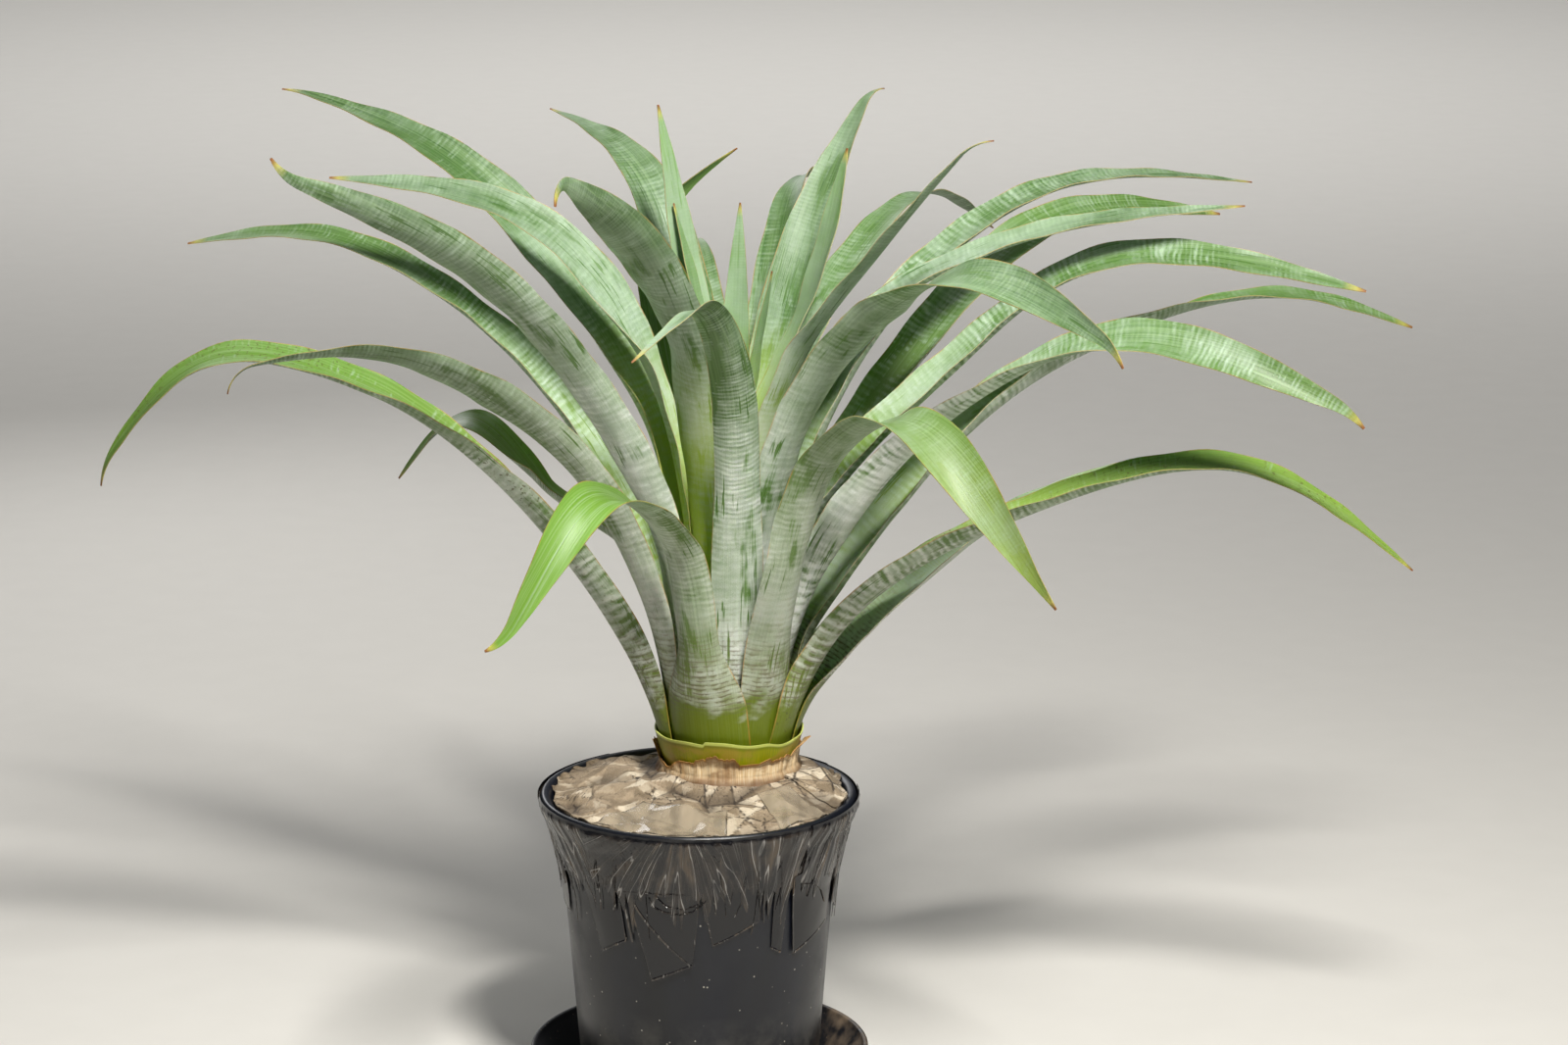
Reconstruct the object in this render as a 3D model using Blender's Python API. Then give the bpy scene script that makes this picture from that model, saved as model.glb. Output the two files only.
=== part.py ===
"""Potted Alcantarea odorata: a bromeliad rosette in a nursery pot on its saucer.

Millimetres in the tables and formulas, turned into metres when a mesh is made.
The origin is the centre of the saucer's underside, +Z is up, the front is -Y.
"""
import math

import bmesh
import bpy
import numpy as np

MM = 0.001
GAP = 0.3

SAUCER_RIM_R = 108.0
SAUCER_BASE_R = 92.0
SAUCER_HEIGHT = 24.0
SAUCER_FLOOR = 3.0

POT_FOOT_Z = SAUCER_FLOOR + GAP
POT_HEIGHT = 190.0
POT_BASE_R = 75.0
POT_RIM_R = 100.0
POT_WALL = 1.6
DRAIN_HOLE_R = 6.0
DRAIN_HOLES = 4

SOIL_TOP = 187.2
STEM_PLUG_R = 30.0
STEM_PLUG_Z = 150.0

PLANT_X = 19.0
PLANT_Y = 28.0
CROWN_Z = 214.0
CROWN_R = 42.0
CROWN_SLOPE = 1.0

# Leaf bases are nested like onion layers: the radius of each layer, outermost first.
RINGS = (42.0, 39.4, 36.9, 34.5, 32.2, 30.0, 27.9, 25.9, 24.0,
         22.1, 20.2, 18.3, 16.4, 14.4, 12.2, 9.8, 7.0)
BLADE_THICK = 0.9
BLADE_EDGE = 0.62
TIP_CURL_LENGTH = 24.0
LATE_SWING = 60.0  # a tip that swings this far bends only near its end

# Each leaf: compass angle (0 right, 90 back, 180 left, 270 front), layer, then
# (reach, height) of four points of its midrib, the sideways swing of its tip, its
# width, its roll about the midrib at a third, at two thirds and at the tip, the half
# angle of its channel, the half angle that its base clasps, and the curl of its tip.
LEAVES = {
    "leaf_left_5": (181, 0, ((95, 325), (220, 442), (320, 464), (398, 387)),
                    -4, 47, (-20, 5, 25), 74, 32, -25),
    "leaf_right_2": (16, 0, ((78, 275), (138, 320), (195, 356), (262, 382)),
                     0, 45, (-20, 10, 0), 62, 34, 0),
    "leaf_back_5": (96, 0, ((75, 320), (145, 385), (230, 405), (310, 340)),
                    0, 42, (0, 0, 0), 72, 30, 0),
    "leaf_front_1": (247, 1, ((55, 290), (74, 358), (152, 405), (230, 322)),
                     -52, 37, (12, 15, 70), 74, 45, 50),
    "leaf_back_8": (137, 1, ((60, 310), (155, 352), (232, 392), (288, 346)),
                    18, 41, (-10, -30, 60), 62, 28, 0),
    "leaf_right_1": (354, 1, ((74, 293), (192, 371), (318, 402), (427, 340)),
                     0, 45, (10, -3, -15), 70, 45, 0),
    "leaf_front_2": (306, 2, ((64, 324), (103, 418), (157, 450), (278, 357)),
                     38, 44, (-18, 5, -90), 68, 30, 0),
    "leaf_left_6": (199, 2, ((58, 318), (108, 410), (212, 477), (322, 475)),
                    -10, 39, (-15, -40, -15), 72, 28, -70),
    "leaf_back_4": (79, 2, ((70, 345), (150, 430), (240, 465), (330, 430)),
                    0, 40, (0, 0, 0), 72, 31, 0),
    "leaf_right_4": (17, 3, ((96, 345), (216, 444), (370, 484), (466, 458)),
                     0, 43, (-15, 35, -40), 72, 34, 0),
    "leaf_left_4": (163, 3, ((63, 348), (144, 461), (262, 527), (362, 520)),
                    6, 42, (10, 0, 25), 72, 34, 0),
    "leaf_front_3": (279, 3, ((52, 380), (88, 472), (136, 523), (196, 508)),
                     -84, 33, (0, 0, -30), 78, 30, -20),
    "leaf_right_3": (346, 4, ((71, 350), (157, 445), (246, 489), (402, 451)),
                     -20, 43, (28, -5, -85), 78, 33, -25),
    "leaf_back_3": (98, 3, ((60, 370), (125, 455), (205, 500), (290, 470)),
                    0, 38, (0, 0, 0), 72, 28, 0),
    "leaf_left_2": (213, 4, ((50, 350), (109, 462), (180, 540), (316, 611)),
                    0, 38, (-20, -30, -85), 72, 32, 35),
    "leaf_right_8": (38, 5, ((70, 348), (150, 448), (250, 522), (400, 517)),
                     -20, 42, (10, -10, -45), 76, 33, 0),
    "leaf_left_1": (155, 5, ((34, 362), (96, 484), (190, 574), (318, 617)),
                    0, 43, (-10, 30, 10), 74, 34, -10),
    "leaf_right_5": (4, 6, ((52, 354), (138, 454), (226, 522), (395, 508)),
                     -30, 42, (-15, -5, -50), 72, 34, 0),
    "leaf_back_2": (125, 4, ((44, 376), (98, 472), (138, 526), (112, 576)),
                    -84, 34, (0, 0, 0), 74, 28, 0),
    "leaf_right_6": (25, 7, ((44, 362), (114, 485), (215, 552), (376, 550)),
                     0, 42, (0, 0, -10), 74, 31, 0),
    "leaf_right_9": (319, 7, ((33, 352), (97, 478), (193, 540), (325, 512)),
                     -20, 43, (-10, 20, -100), 74, 34, -35),
    "leaf_left_3": (176, 7, ((27, 352), (55, 465), (120, 548), (248, 576)),
                    0, 42, (-20, 30, 25), 76, 34, 0),
    "leaf_back_14": (57, 8, ((31, 352), (98, 468), (232, 536), (326, 500)),
                     0, 32, (5, 5, 10), 62, 28, 0),
    "leaf_back_1": (125, 8, ((23, 348), (40, 469), (92, 565), (205, 597)),
                    0, 40, (0, 25, -5), 74, 27, 0),
    "leaf_front_5": (239, 8, ((25, 341), (47, 453), (114, 545), (244, 618)),
                     35, 42, (35, -5, -100), 74, 34, -90),
    "leaf_right_7": (0, 9, ((27, 362), (76, 478), (167, 534), (320, 561)),
                     0, 42, (0, -5, -15), 74, 34, 0),
    "leaf_back_13": (68, 10, ((20, 340), (64, 447), (140, 555), (217, 540)),
                     14, 38, (0, 25, 30), 74, 27, 0),
    "leaf_right_10": (336, 10, ((19, 343), (48, 461), (108, 544), (174, 621)),
                      -8, 44, (20, -5, 0), 76, 34, -40),
    "leaf_right_11": (47, 11, ((16, 341), (44, 452), (92, 554), (153, 626)),
                      12, 40, (0, -40, 10), 74, 32, -50),
    "leaf_heart_3": (125, 12, ((14, 333), (20, 440), (31, 540), (38, 622)),
                     26, 29, (0, 0, 0), 74, 38, 0),
    "leaf_right_12": (9, 13, ((14, 324), (22, 423), (55, 506), (76, 595)),
                      4, 38, (0, -20, -35), 74, 38, 0),
    "leaf_heart_4": (160, 14, ((11, 314), (14, 403), (19, 487), (36, 561)),
                     0, 28, (0, 0, 0), 74, 38, 0),
    "leaf_heart_1": (80, 15, ((10, 313), (14, 400), (18, 481), (22, 560)),
                     -4, 25, (0, 0, 0), 74, 38, 0),
    "leaf_heart_2": (330, 16, ((8, 305), (11, 384), (20, 457), (34, 524)),
                     -3, 22, (0, 0, 0), 74, 38, 0),
}
LEAF_STATIONS = 16
LEAF_STRIPS = 4


def clear_scene():
    for obj in list(bpy.data.objects):
        bpy.data.objects.remove(obj, do_unlink=True)


def make_material(name, rgb, roughness, metallic=0.0, alpha=1.0):
    material = bpy.data.materials.new(name)
    material.use_nodes = True
    shader = material.node_tree.nodes["Principled BSDF"]
    shader.inputs["Base Color"].default_value = (*rgb, 1.0)
    shader.inputs["Roughness"].default_value = roughness
    shader.inputs["Metallic"].default_value = metallic
    shader.inputs["Alpha"].default_value = alpha
    return material


def make_object(name, verts, faces, material, smooth_angle=40.0):
    """Object from points in millimetres, with its faces turned outward."""
    mesh = bpy.data.meshes.new(name)
    mesh.from_pydata([tuple(float(c) * MM for c in v) for v in verts], [], faces)
    bm = bmesh.new()
    bm.from_mesh(mesh)
    bmesh.ops.recalc_face_normals(bm, faces=bm.faces)
    bm.to_mesh(mesh)
    bm.free()
    mesh.materials.append(material)
    mesh.shade_smooth()
    mesh.set_sharp_from_angle(angle=math.radians(smooth_angle))
    obj = bpy.data.objects.new(name, mesh)
    bpy.context.scene.collection.objects.link(obj)
    return obj


def turned(name, profile, segments, material, centre=(0.0, 0.0)):
    """Spins a closed (radius, height) profile round a vertical axis."""
    bm = bmesh.new()
    points = [bm.verts.new((r * MM, 0.0, z * MM)) for r, z in profile]
    edges = [bm.edges.new((a, b)) for a, b in zip(points, points[1:])]
    bmesh.ops.spin(bm, geom=points + edges, cent=(0, 0, 0), axis=(0, 0, 1),
                   angle=2.0 * math.pi, steps=segments, use_merge=True)
    bmesh.ops.remove_doubles(bm, verts=bm.verts, dist=0.00001)
    bmesh.ops.recalc_face_normals(bm, faces=bm.faces)
    mesh = bpy.data.meshes.new(name)
    bm.to_mesh(mesh)
    bm.free()
    mesh.materials.append(material)
    mesh.shade_smooth()
    mesh.set_sharp_from_angle(angle=math.radians(35.0))
    obj = bpy.data.objects.new(name, mesh)
    obj.location = (centre[0] * MM, centre[1] * MM, 0.0)
    bpy.context.scene.collection.objects.link(obj)
    return obj


def cut_with(obj, cutters):
    for cutter in cutters:
        cutter.hide_render = True
        cutter.display_type = "WIRE"
        cut = obj.modifiers.new("cut_" + cutter.name, "BOOLEAN")
        cut.operation = "DIFFERENCE"
        cut.solver = "EXACT"
        cut.object = cutter


def ramp(x, start, end):
    """Smooth step from 0 at start to 1 at end."""
    t = np.clip((np.asarray(x, float) - start) / (end - start), 0.0, 1.0)
    return t * t * (3.0 - 2.0 * t)


def sheet_solid(name, upper, under, material, wrap=False):
    """Closed thin solid between two grids of points; wrap joins the grid into a ring.

    Both faces are split into triangles along the same diagonals.
    """
    rows, cols = upper.shape[:2]
    verts = np.vstack([upper.reshape(-1, 3), under.reshape(-1, 3)])
    base = rows * cols
    faces = []
    last = rows if wrap else rows - 1
    for i in range(last):
        k = (i + 1) % rows
        for j in range(cols - 1):
            a, b = i * cols + j, k * cols + j
            c, d = b + 1, a + 1
            faces += [(a, b, c), (a, c, d)]
            faces += [(base + a, base + c, base + b), (base + a, base + d, base + c)]
        for j in (0, cols - 1):
            a, b = i * cols + j, k * cols + j
            faces += [(a, base + a, base + b), (a, base + b, b)]
    if not wrap:
        for i in (0, rows - 1):
            for j in range(cols - 1):
                a = i * cols + j
                d = a + 1
                faces += [(a, d, base + d), (a, base + d, base + a)]
    return make_object(name, verts, faces, material, 50.0)


def midrib(points, lean, steps=40):
    """Smooth (reach, height) line through the points, leaning outward at its start."""
    p = np.array(points, float)
    gaps = np.linalg.norm(np.diff(p, axis=0), axis=1) ** 0.8
    slope = np.diff(p, axis=0) / gaps[:, None]
    m = np.zeros_like(p)
    m[0] = np.array([lean, math.sqrt(1.0 - lean * lean)]) * np.linalg.norm(slope[0])
    before, after = gaps[:-1, None], gaps[1:, None]
    m[1:-1] = (after * slope[:-1] + before * slope[1:]) / (after + before)
    m[-1] = 1.5 * slope[-1] - 0.5 * m[-2]
    k = np.linspace(0.0, 1.0, steps, endpoint=False)[:, None]
    line = []
    for i in range(len(p) - 1):
        a, b = m[i] * gaps[i], m[i + 1] * gaps[i]
        line.append((2 * k**3 - 3 * k**2 + 1) * p[i] + (k**3 - 2 * k**2 + k) * a
                    + (3 * k**2 - 2 * k**3) * p[i + 1] + (k**3 - k**2) * b)
    return np.vstack(line + [p[-1:]])


def curl_tip(line, degrees):
    """Turns the last stretch of a midrib up (positive) or down (negative)."""
    step = np.diff(line, axis=0)
    length = np.linalg.norm(step, axis=1)
    s = np.cumsum(length)
    angle = np.arctan2(step[:, 1], step[:, 0])
    start = s[-1] - TIP_CURL_LENGTH
    angle = angle + math.radians(degrees) * np.clip((s - start) / TIP_CURL_LENGTH, 0.0, 1.0)
    moved = np.stack([np.cos(angle), np.sin(angle)], 1) * length[:, None]
    return np.vstack([line[:1], line[0] + np.cumsum(moved, axis=0)])


def leaf_surfaces(spec, stations, strips):
    """Upper and under grids of one leaf, from its root to its tip."""
    azimuth, ring, points, swing, width, rolls, channel, clasp, curl = spec
    root_r = RINGS[ring]
    root = (root_r, CROWN_Z + (CROWN_R - root_r) * CROWN_SLOPE)
    lean = 0.04 + 0.20 * float(ramp(root_r, 33.0, 42.0))
    line = curl_tip(midrib((root,) + points, lean), curl)
    s = np.concatenate([[0.0], np.cumsum(np.linalg.norm(np.diff(line, axis=0), axis=1))])
    u = np.linspace(0.0, 1.0, stations + 1)
    u = u - 0.045 * np.sin(2.0 * np.pi * u)
    along = u * s[-1]
    reach = np.interp(along, s, line[:, 0])
    height = np.interp(along, s, line[:, 1])

    swing_power = 2.5 if abs(swing) < LATE_SWING else 5.0
    turn = math.radians(azimuth)
    outward = np.array([math.cos(turn), math.sin(turn), 0.0])
    sideways = np.array([-math.sin(turn), math.cos(turn), 0.0])
    centre = (np.array([PLANT_X, PLANT_Y, 0.0]) + reach[:, None] * outward
              + (swing * u**swing_power)[:, None] * sideways
              + height[:, None] * np.array([0.0, 0.0, 1.0]))
    forward = np.gradient(centre, along, axis=0)
    forward /= np.linalg.norm(forward, axis=1)[:, None]
    across = sideways - (forward @ sideways)[:, None] * forward
    across /= np.linalg.norm(across, axis=1)[:, None]
    inward = np.cross(forward, across)
    free = ramp(reach, 44.0, 75.0)
    roll = np.radians(np.interp(u, (0.0, 0.3, 0.6, 1.0), (rolls[0],) + rolls)) * free
    cos, sin = np.cos(roll)[:, None], np.sin(roll)[:, None]
    inward, across = inward * cos + across * sin, across * cos - inward * sin

    clasp_w = 2.0 * math.radians(clasp) * root_r
    w = clasp_w + (width - clasp_w) * ramp(along, 30.0, 80.0)
    w = w * (1.0 + 0.05 * ramp(u, 0.15, 0.35)) * (1.0 - 0.10 * ramp(u, 0.35, 0.65))
    w = np.minimum(w, 2.05 * math.radians(clasp) * reach)
    w = w * (1.0 - 0.955 * np.clip((u - 0.52) / 0.48, 0.0, 1.0)**2)
    hugging = w / 2.0 / (0.97 * reach)
    fold = np.interp(u, (0.0, 0.2, 0.4, 0.65, 0.9, 1.0), (1.0, 1.0, 0.8, 0.5, 0.34, 0.3))
    away = ramp(reach, 38.0, 58.0)
    half = hugging * (1.0 - away) + math.radians(channel) * fold * away

    v = np.linspace(-1.0, 1.0, strips + 1)
    bend = half[:, None] * v
    radius = (w / 2.0 / half)[:, None]
    side, rise = radius * np.sin(bend), radius * (1.0 - np.cos(bend))
    under = (centre[:, None] + side[..., None] * across[:, None]
             + rise[..., None] * inward[:, None])
    normal = (np.cos(bend)[..., None] * inward[:, None]
              - np.sin(bend)[..., None] * across[:, None])
    thick = BLADE_THICK - (BLADE_THICK - BLADE_EDGE) * v**2
    upper = under + normal * thick[None, :, None]
    return upper, under


def crumple(x, y):
    """Height of the crumpled paper's creases at a point, in millimetres."""
    height = 0.0
    for angle, pitch, shift, size in ((0.4, 46.0, 0.3, 0.9), (1.3, 34.0, 1.9, 0.8),
                                      (2.2, 39.0, 4.1, 0.9), (2.8, 27.0, 2.6, 0.6)):
        phase = (x * math.cos(angle) + y * math.sin(angle)) / pitch + shift
        height = height + size * (1.0 - 2.0 * np.abs(phase - np.floor(phase) - 0.5) * 2.0)
    return height


def paper_height(x, y):
    """Top of the soil cover: a low dome round the plant with creases."""
    from_plant = np.hypot(x - PLANT_X, y - PLANT_Y)
    dome = 188.6 + 9.5 * (1.0 - ramp(from_plant, 38.0, 118.0))
    return dome + crumple(x, y) * (0.3 + 0.7 * ramp(from_plant, 44.0, 66.0))


clear_scene()

pot_plastic = make_material("pot_plastic", (0.010, 0.012, 0.020), 0.38)
saucer_plastic = make_material("saucer_plastic", (0.008, 0.008, 0.009), 0.35)
potting_soil = make_material("potting_soil", (0.050, 0.030, 0.018), 0.95)
kraft_paper = make_material("kraft_paper", (0.420, 0.330, 0.235), 0.80)
clear_tape = make_material("clear_tape", (0.720, 0.720, 0.700), 0.20, alpha=0.35)
stem_tissue = make_material("stem_tissue", (0.300, 0.260, 0.090), 0.65)
sheath_green = make_material("sheath_green", (0.330, 0.400, 0.040), 0.45)
sheath_dry = make_material("sheath_dry", (0.360, 0.220, 0.110), 0.80)
leaf_old = make_material("leaf_old", (0.330, 0.420, 0.250), 0.60)
leaf_mature = make_material("leaf_mature", (0.400, 0.520, 0.340), 0.58)
leaf_heart = make_material("leaf_heart", (0.500, 0.640, 0.300), 0.50)

turned("saucer", [
    (0.0, 0.0), (SAUCER_BASE_R - 2.0, 0.0), (SAUCER_BASE_R, 1.0),
    (SAUCER_RIM_R - 2.4, SAUCER_HEIGHT - 3.4), (SAUCER_RIM_R - 0.4, SAUCER_HEIGHT - 2.6),
    (SAUCER_RIM_R, SAUCER_HEIGHT - 1.0), (SAUCER_RIM_R - 0.8, SAUCER_HEIGHT),
    (SAUCER_RIM_R - 2.8, SAUCER_HEIGHT - 0.4), (SAUCER_RIM_R - 4.2, SAUCER_HEIGHT - 3.2),
    (SAUCER_BASE_R + 0.2, 5.0), (SAUCER_BASE_R - 1.8, SAUCER_FLOOR), (0.0, SAUCER_FLOOR),
], 40, saucer_plastic)

rim_z = POT_FOOT_Z + POT_HEIGHT
pot = turned("pot", [
    (0.0, POT_FOOT_Z + 3.0), (POT_BASE_R - 7.0, POT_FOOT_Z + 3.0),
    (POT_BASE_R - 6.0, POT_FOOT_Z), (POT_BASE_R - 1.5, POT_FOOT_Z),
    (POT_BASE_R, POT_FOOT_Z + 1.5), (83.5, 112.0), (90.0, 176.0), (96.6, rim_z - 5.6),
    (POT_RIM_R - 0.4, rim_z - 4.6), (POT_RIM_R, rim_z - 2.2), (POT_RIM_R - 1.6, rim_z),
    (POT_RIM_R - 5.6, rim_z - 0.8), (POT_RIM_R - 7.4, rim_z - 4.4),
    (90.0 - POT_WALL, 176.5), (83.5 - POT_WALL, 112.0),
    (POT_BASE_R - POT_WALL, POT_FOOT_Z + 5.2), (0.0, POT_FOOT_Z + 5.2),
], 40, pot_plastic)
drain_cutters = []
for k in range(DRAIN_HOLES):
    turn = 2.0 * math.pi * (k + 0.5) / DRAIN_HOLES
    spot = (48.0 * math.cos(turn), 48.0 * math.sin(turn))
    drain_cutters.append(turned("drain_cutter_%d" % (k + 1), [
        (0.0, POT_FOOT_Z - 4.0), (DRAIN_HOLE_R, POT_FOOT_Z - 4.0),
        (DRAIN_HOLE_R, POT_FOOT_Z + 9.0), (0.0, POT_FOOT_Z + 9.0),
    ], 10, pot_plastic, spot))
cut_with(pot, drain_cutters)

soil = turned("soil", [
    (0.0, POT_FOOT_Z + 5.2 + GAP), (POT_BASE_R - POT_WALL - 1.2, POT_FOOT_Z + 5.2 + GAP),
    (83.5 - POT_WALL - 0.5, 112.0), (90.0 - POT_WALL - 0.6, 176.5), (90.0, SOIL_TOP - 0.8),
    (84.0, SOIL_TOP), (0.0, SOIL_TOP),
], 40, potting_soil)
stem_hole = turned("stem_hole_cutter", [
    (0.0, STEM_PLUG_Z - GAP), (STEM_PLUG_R + GAP, STEM_PLUG_Z - GAP),
    (STEM_PLUG_R + GAP, SOIL_TOP + 5.0), (0.0, SOIL_TOP + 5.0),
], 24, potting_soil, (PLANT_X, PLANT_Y))
cut_with(soil, [stem_hole])

turned("stem", [
    (0.0, STEM_PLUG_Z), (STEM_PLUG_R, STEM_PLUG_Z), (STEM_PLUG_R, SOIL_TOP + 2.0),
    (35.5, SOIL_TOP + 9.0), (37.5, CROWN_Z - 10.0), (40.4, CROWN_Z - 1.0),
    (40.4, CROWN_Z - 0.2), (6.0, CROWN_Z + 34.6), (0.0, CROWN_Z + 36.0),
], 20, stem_tissue, (PLANT_X, PLANT_Y))

# Trimmed green sheath: a cup round the outermost leaf bases, its upper edge cut uneven.
turns = np.linspace(0.0, 2.0 * math.pi, 30, endpoint=False)
rows = np.linspace(0.0, 1.0, 3)
edge_z = CROWN_Z + 14.0 + 1.6 * np.sin(turns + 4.4) + 0.9 * np.sin(3.0 * turns + 1.0)
z = (CROWN_Z - 1.0) + (edge_z[:, None] - (CROWN_Z - 1.0)) * rows[None, :]
radius = CROWN_R + 0.9 + 0.28 * (z - CROWN_Z)
ray = np.stack([np.cos(turns), np.sin(turns)], 1)
foot = np.array([PLANT_X, PLANT_Y])


def ring_grid(radius, z):
    flat = foot + radius[..., None] * ray[:, None]
    return np.concatenate([flat, z[..., None]], axis=2)


sheet_solid("sheath_green", ring_grid(radius, z), ring_grid(radius + 0.9, z),
            sheath_green, wrap=True)

# Dry papery sheath: its foot spreads over the soil cover, its top is torn and one flap
# of it stands up outside the green sheath.
turns = np.linspace(0.0, 2.0 * math.pi, 32, endpoint=False)
ray = np.stack([np.cos(turns), np.sin(turns)], 1)
from_flap = np.mod(turns - math.radians(345.0) + math.pi, 2.0 * math.pi) - math.pi
edge_z = (CROWN_Z + 3.2 + 1.7 * np.sin(5.0 * turns + 0.6) + 1.2 * np.sin(9.0 * turns + 2.0)
          + 12.0 * np.exp(-(from_flap / 0.17)**2))
z = np.stack([201.6 + 0.5 * np.sin(7.0 * turns), np.full(32, 206.5),
              np.full(32, CROWN_Z - 1.4), edge_z], axis=1)
radius = np.stack([46.2 + 0.5 * np.sin(4.0 * turns), np.full(32, 43.4),
                   np.full(32, 44.2), 44.2 + 0.38 * (edge_z - CROWN_Z + 1.4)], axis=1)
sheet_solid("sheath_dry", ring_grid(radius, z), ring_grid(radius + 0.7, z),
            sheath_dry, wrap=True)


def paper_grid(start):
    """Under side of one sheet of the soil cover: its first rows lie over the sheet before."""
    around = np.radians(start + 10.0 * np.arange(15))
    ray = np.stack([np.cos(around), np.sin(around)], 1)
    near = 44.6 + 0.8 * np.sin(5.0 * around)
    b = ray @ foot
    to_wall = np.sqrt(b * b - foot @ foot + 89.2**2) - b
    far = to_wall - 1.6 + 1.2 * np.sin(7.0 * around) + 0.8 * np.sin(12.0 * around + 1.0)
    q = np.array([0.0, 0.22, 0.42, 0.62, 0.82, 1.0])
    r = near[:, None] + (far - near)[:, None] * q
    flat = foot + r[..., None] * ray[:, None]
    lift = np.zeros(15)
    lift[:4] = (1.2, 1.2, 1.2, 0.6)
    z = paper_height(flat[..., 0], flat[..., 1]) + lift[:, None]
    return np.concatenate([flat, z[..., None]], axis=2)


def lifted(grid, height):
    return grid + np.array([0.0, 0.0, height])


for k in range(3):
    sheet = paper_grid(200.0 + 120.0 * k)
    sheet_solid("paper_%d" % (k + 1), lifted(sheet, 0.7), sheet, kraft_paper)

# Clear tape pressed onto the cover, cut from the same creased surface.
front = paper_grid(200.0)
for name, sheet in (("tape_top_1", front[3:8, 2:6]), ("tape_top_2", front[9:12, 1:5])):
    sheet_solid(name, lifted(sheet, 1.6), lifted(sheet, 1.0), clear_tape)

# Clear tape strips round the pot: middle angle, layer, and the height of the lower end
# at seven places across, which follows each piece's slanted cut and the torn edges.
SIDE_TAPES = (
    (18, 0, (112, 118, 130, 134, 126, 116, 110)), (63, 1, (122, 116, 124, 132, 134, 120, 114)),
    (108, 0, (130, 124, 112, 106, 118, 130, 134)), (153, 1, (118, 110, 104, 116, 128, 132, 124)),
    (207, 0, (132, 136, 136, 134, 126, 118, 124)), (252, 1, (134, 130, 122, 98, 104, 128, 136)),
    (297, 0, (136, 120, 128, 136, 122, 113, 122)), (342, 1, (116, 120, 128, 134, 130, 118, 112)),
)


def tape_strip(name, middle, layer, ends):
    """Strip from the rolled rim, tented to the wall, with an uneven lower end."""
    around = np.radians(middle + 27.0 * np.linspace(-1.0, 1.0, 7))
    z = np.stack([np.array(ends, float), np.full(7, 142.0), np.full(7, 176.0),
                  np.full(7, rim_z - 4.2), np.full(7, rim_z - 1.2)], axis=1)
    r = np.interp(z, (POT_FOOT_Z + 1.5, 112.0, 142.0, 176.0, rim_z - 4.2, rim_z - 1.2),
                  (POT_BASE_R + 0.4, 83.9, 87.0, 94.8, POT_RIM_R + 0.4, POT_RIM_R + 0.3))
    r = r + 1.0 * layer
    ray = np.stack([np.cos(around), np.sin(around)], 1)
    inner = np.concatenate([r[..., None] * ray[:, None], z[..., None]], axis=2)
    outer = np.concatenate([(r + 0.6)[..., None] * ray[:, None], z[..., None]], axis=2)
    sheet_solid(name, outer, inner, clear_tape)


for k, (middle, layer, ends) in enumerate(SIDE_TAPES):
    tape_strip("tape_side_%d" % (k + 1), middle, layer, ends)


def leaf_material(name):
    ring = LEAVES[name][1]
    return leaf_old if ring < 3 else leaf_mature if ring < 12 else leaf_heart


for name, spec in LEAVES.items():
    upper, under = leaf_surfaces(spec, LEAF_STATIONS, LEAF_STRIPS)
    sheet_solid(name, upper, under, leaf_material(name))
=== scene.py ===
import math
from functools import partial

import bmesh
import bpy
import numpy as np

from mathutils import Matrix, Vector
from mathutils.geometry import delaunay_2d_cdt


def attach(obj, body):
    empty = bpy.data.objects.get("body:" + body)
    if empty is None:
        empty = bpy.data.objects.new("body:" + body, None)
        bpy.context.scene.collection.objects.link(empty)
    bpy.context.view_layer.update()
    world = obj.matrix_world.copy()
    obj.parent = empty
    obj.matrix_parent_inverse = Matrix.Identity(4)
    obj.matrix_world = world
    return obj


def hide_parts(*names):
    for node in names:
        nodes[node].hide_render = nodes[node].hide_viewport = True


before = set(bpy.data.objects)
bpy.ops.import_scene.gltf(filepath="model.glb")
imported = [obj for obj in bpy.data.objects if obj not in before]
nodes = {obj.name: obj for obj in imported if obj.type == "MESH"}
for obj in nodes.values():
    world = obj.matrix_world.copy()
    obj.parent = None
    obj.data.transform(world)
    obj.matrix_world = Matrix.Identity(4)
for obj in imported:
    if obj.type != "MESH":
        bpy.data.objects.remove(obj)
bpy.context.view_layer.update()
mm = 0.001
plantFoot = np.array([19.0, 28.0])  # the plant stands off the pot's middle
crownHeight = 214.0                 # where the leaves spring from


def hexToLinear(code):
    channels = [int(code[i:i + 2], 16) / 255 for i in (1, 3, 5)]
    return tuple(c / 12.92 if c <= 0.04045 else ((c + 0.055) / 1.055) ** 2.4
                 for c in channels) + (1.0,)


def setSockets(node, inputs):  # a plain value is set, and another node's output is linked
    for key, value in inputs.items() if isinstance(inputs, dict) else enumerate(inputs):
        if isinstance(value, bpy.types.NodeSocket):
            node.id_data.links.new(value, node.inputs[key])
        else:
            node.inputs[key].default_value = value


def addNode(tree, kind, inputs=(), out=0, **settings):
    node = tree.nodes.new("ShaderNode" + kind)
    for key, value in settings.items():
        setattr(node, key, value)
    setSockets(node, inputs)
    return node.outputs[out]


def newMaterial(name):
    material = bpy.data.materials.new(name)
    material.use_nodes = True
    tree = material.node_tree
    return material, tree.nodes["Principled BSDF"], partial(addNode, tree)


def layColors(add, ground, coats):  # each coat covers the ones before it by its own factor
    skin = hexToLinear(ground)
    for factor, color in coats:
        over = hexToLinear(color) if isinstance(color, str) else color
        skin = add("Mix", {0: factor, 6: skin, 7: over}, 2, data_type="RGBA")
    return skin


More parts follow.
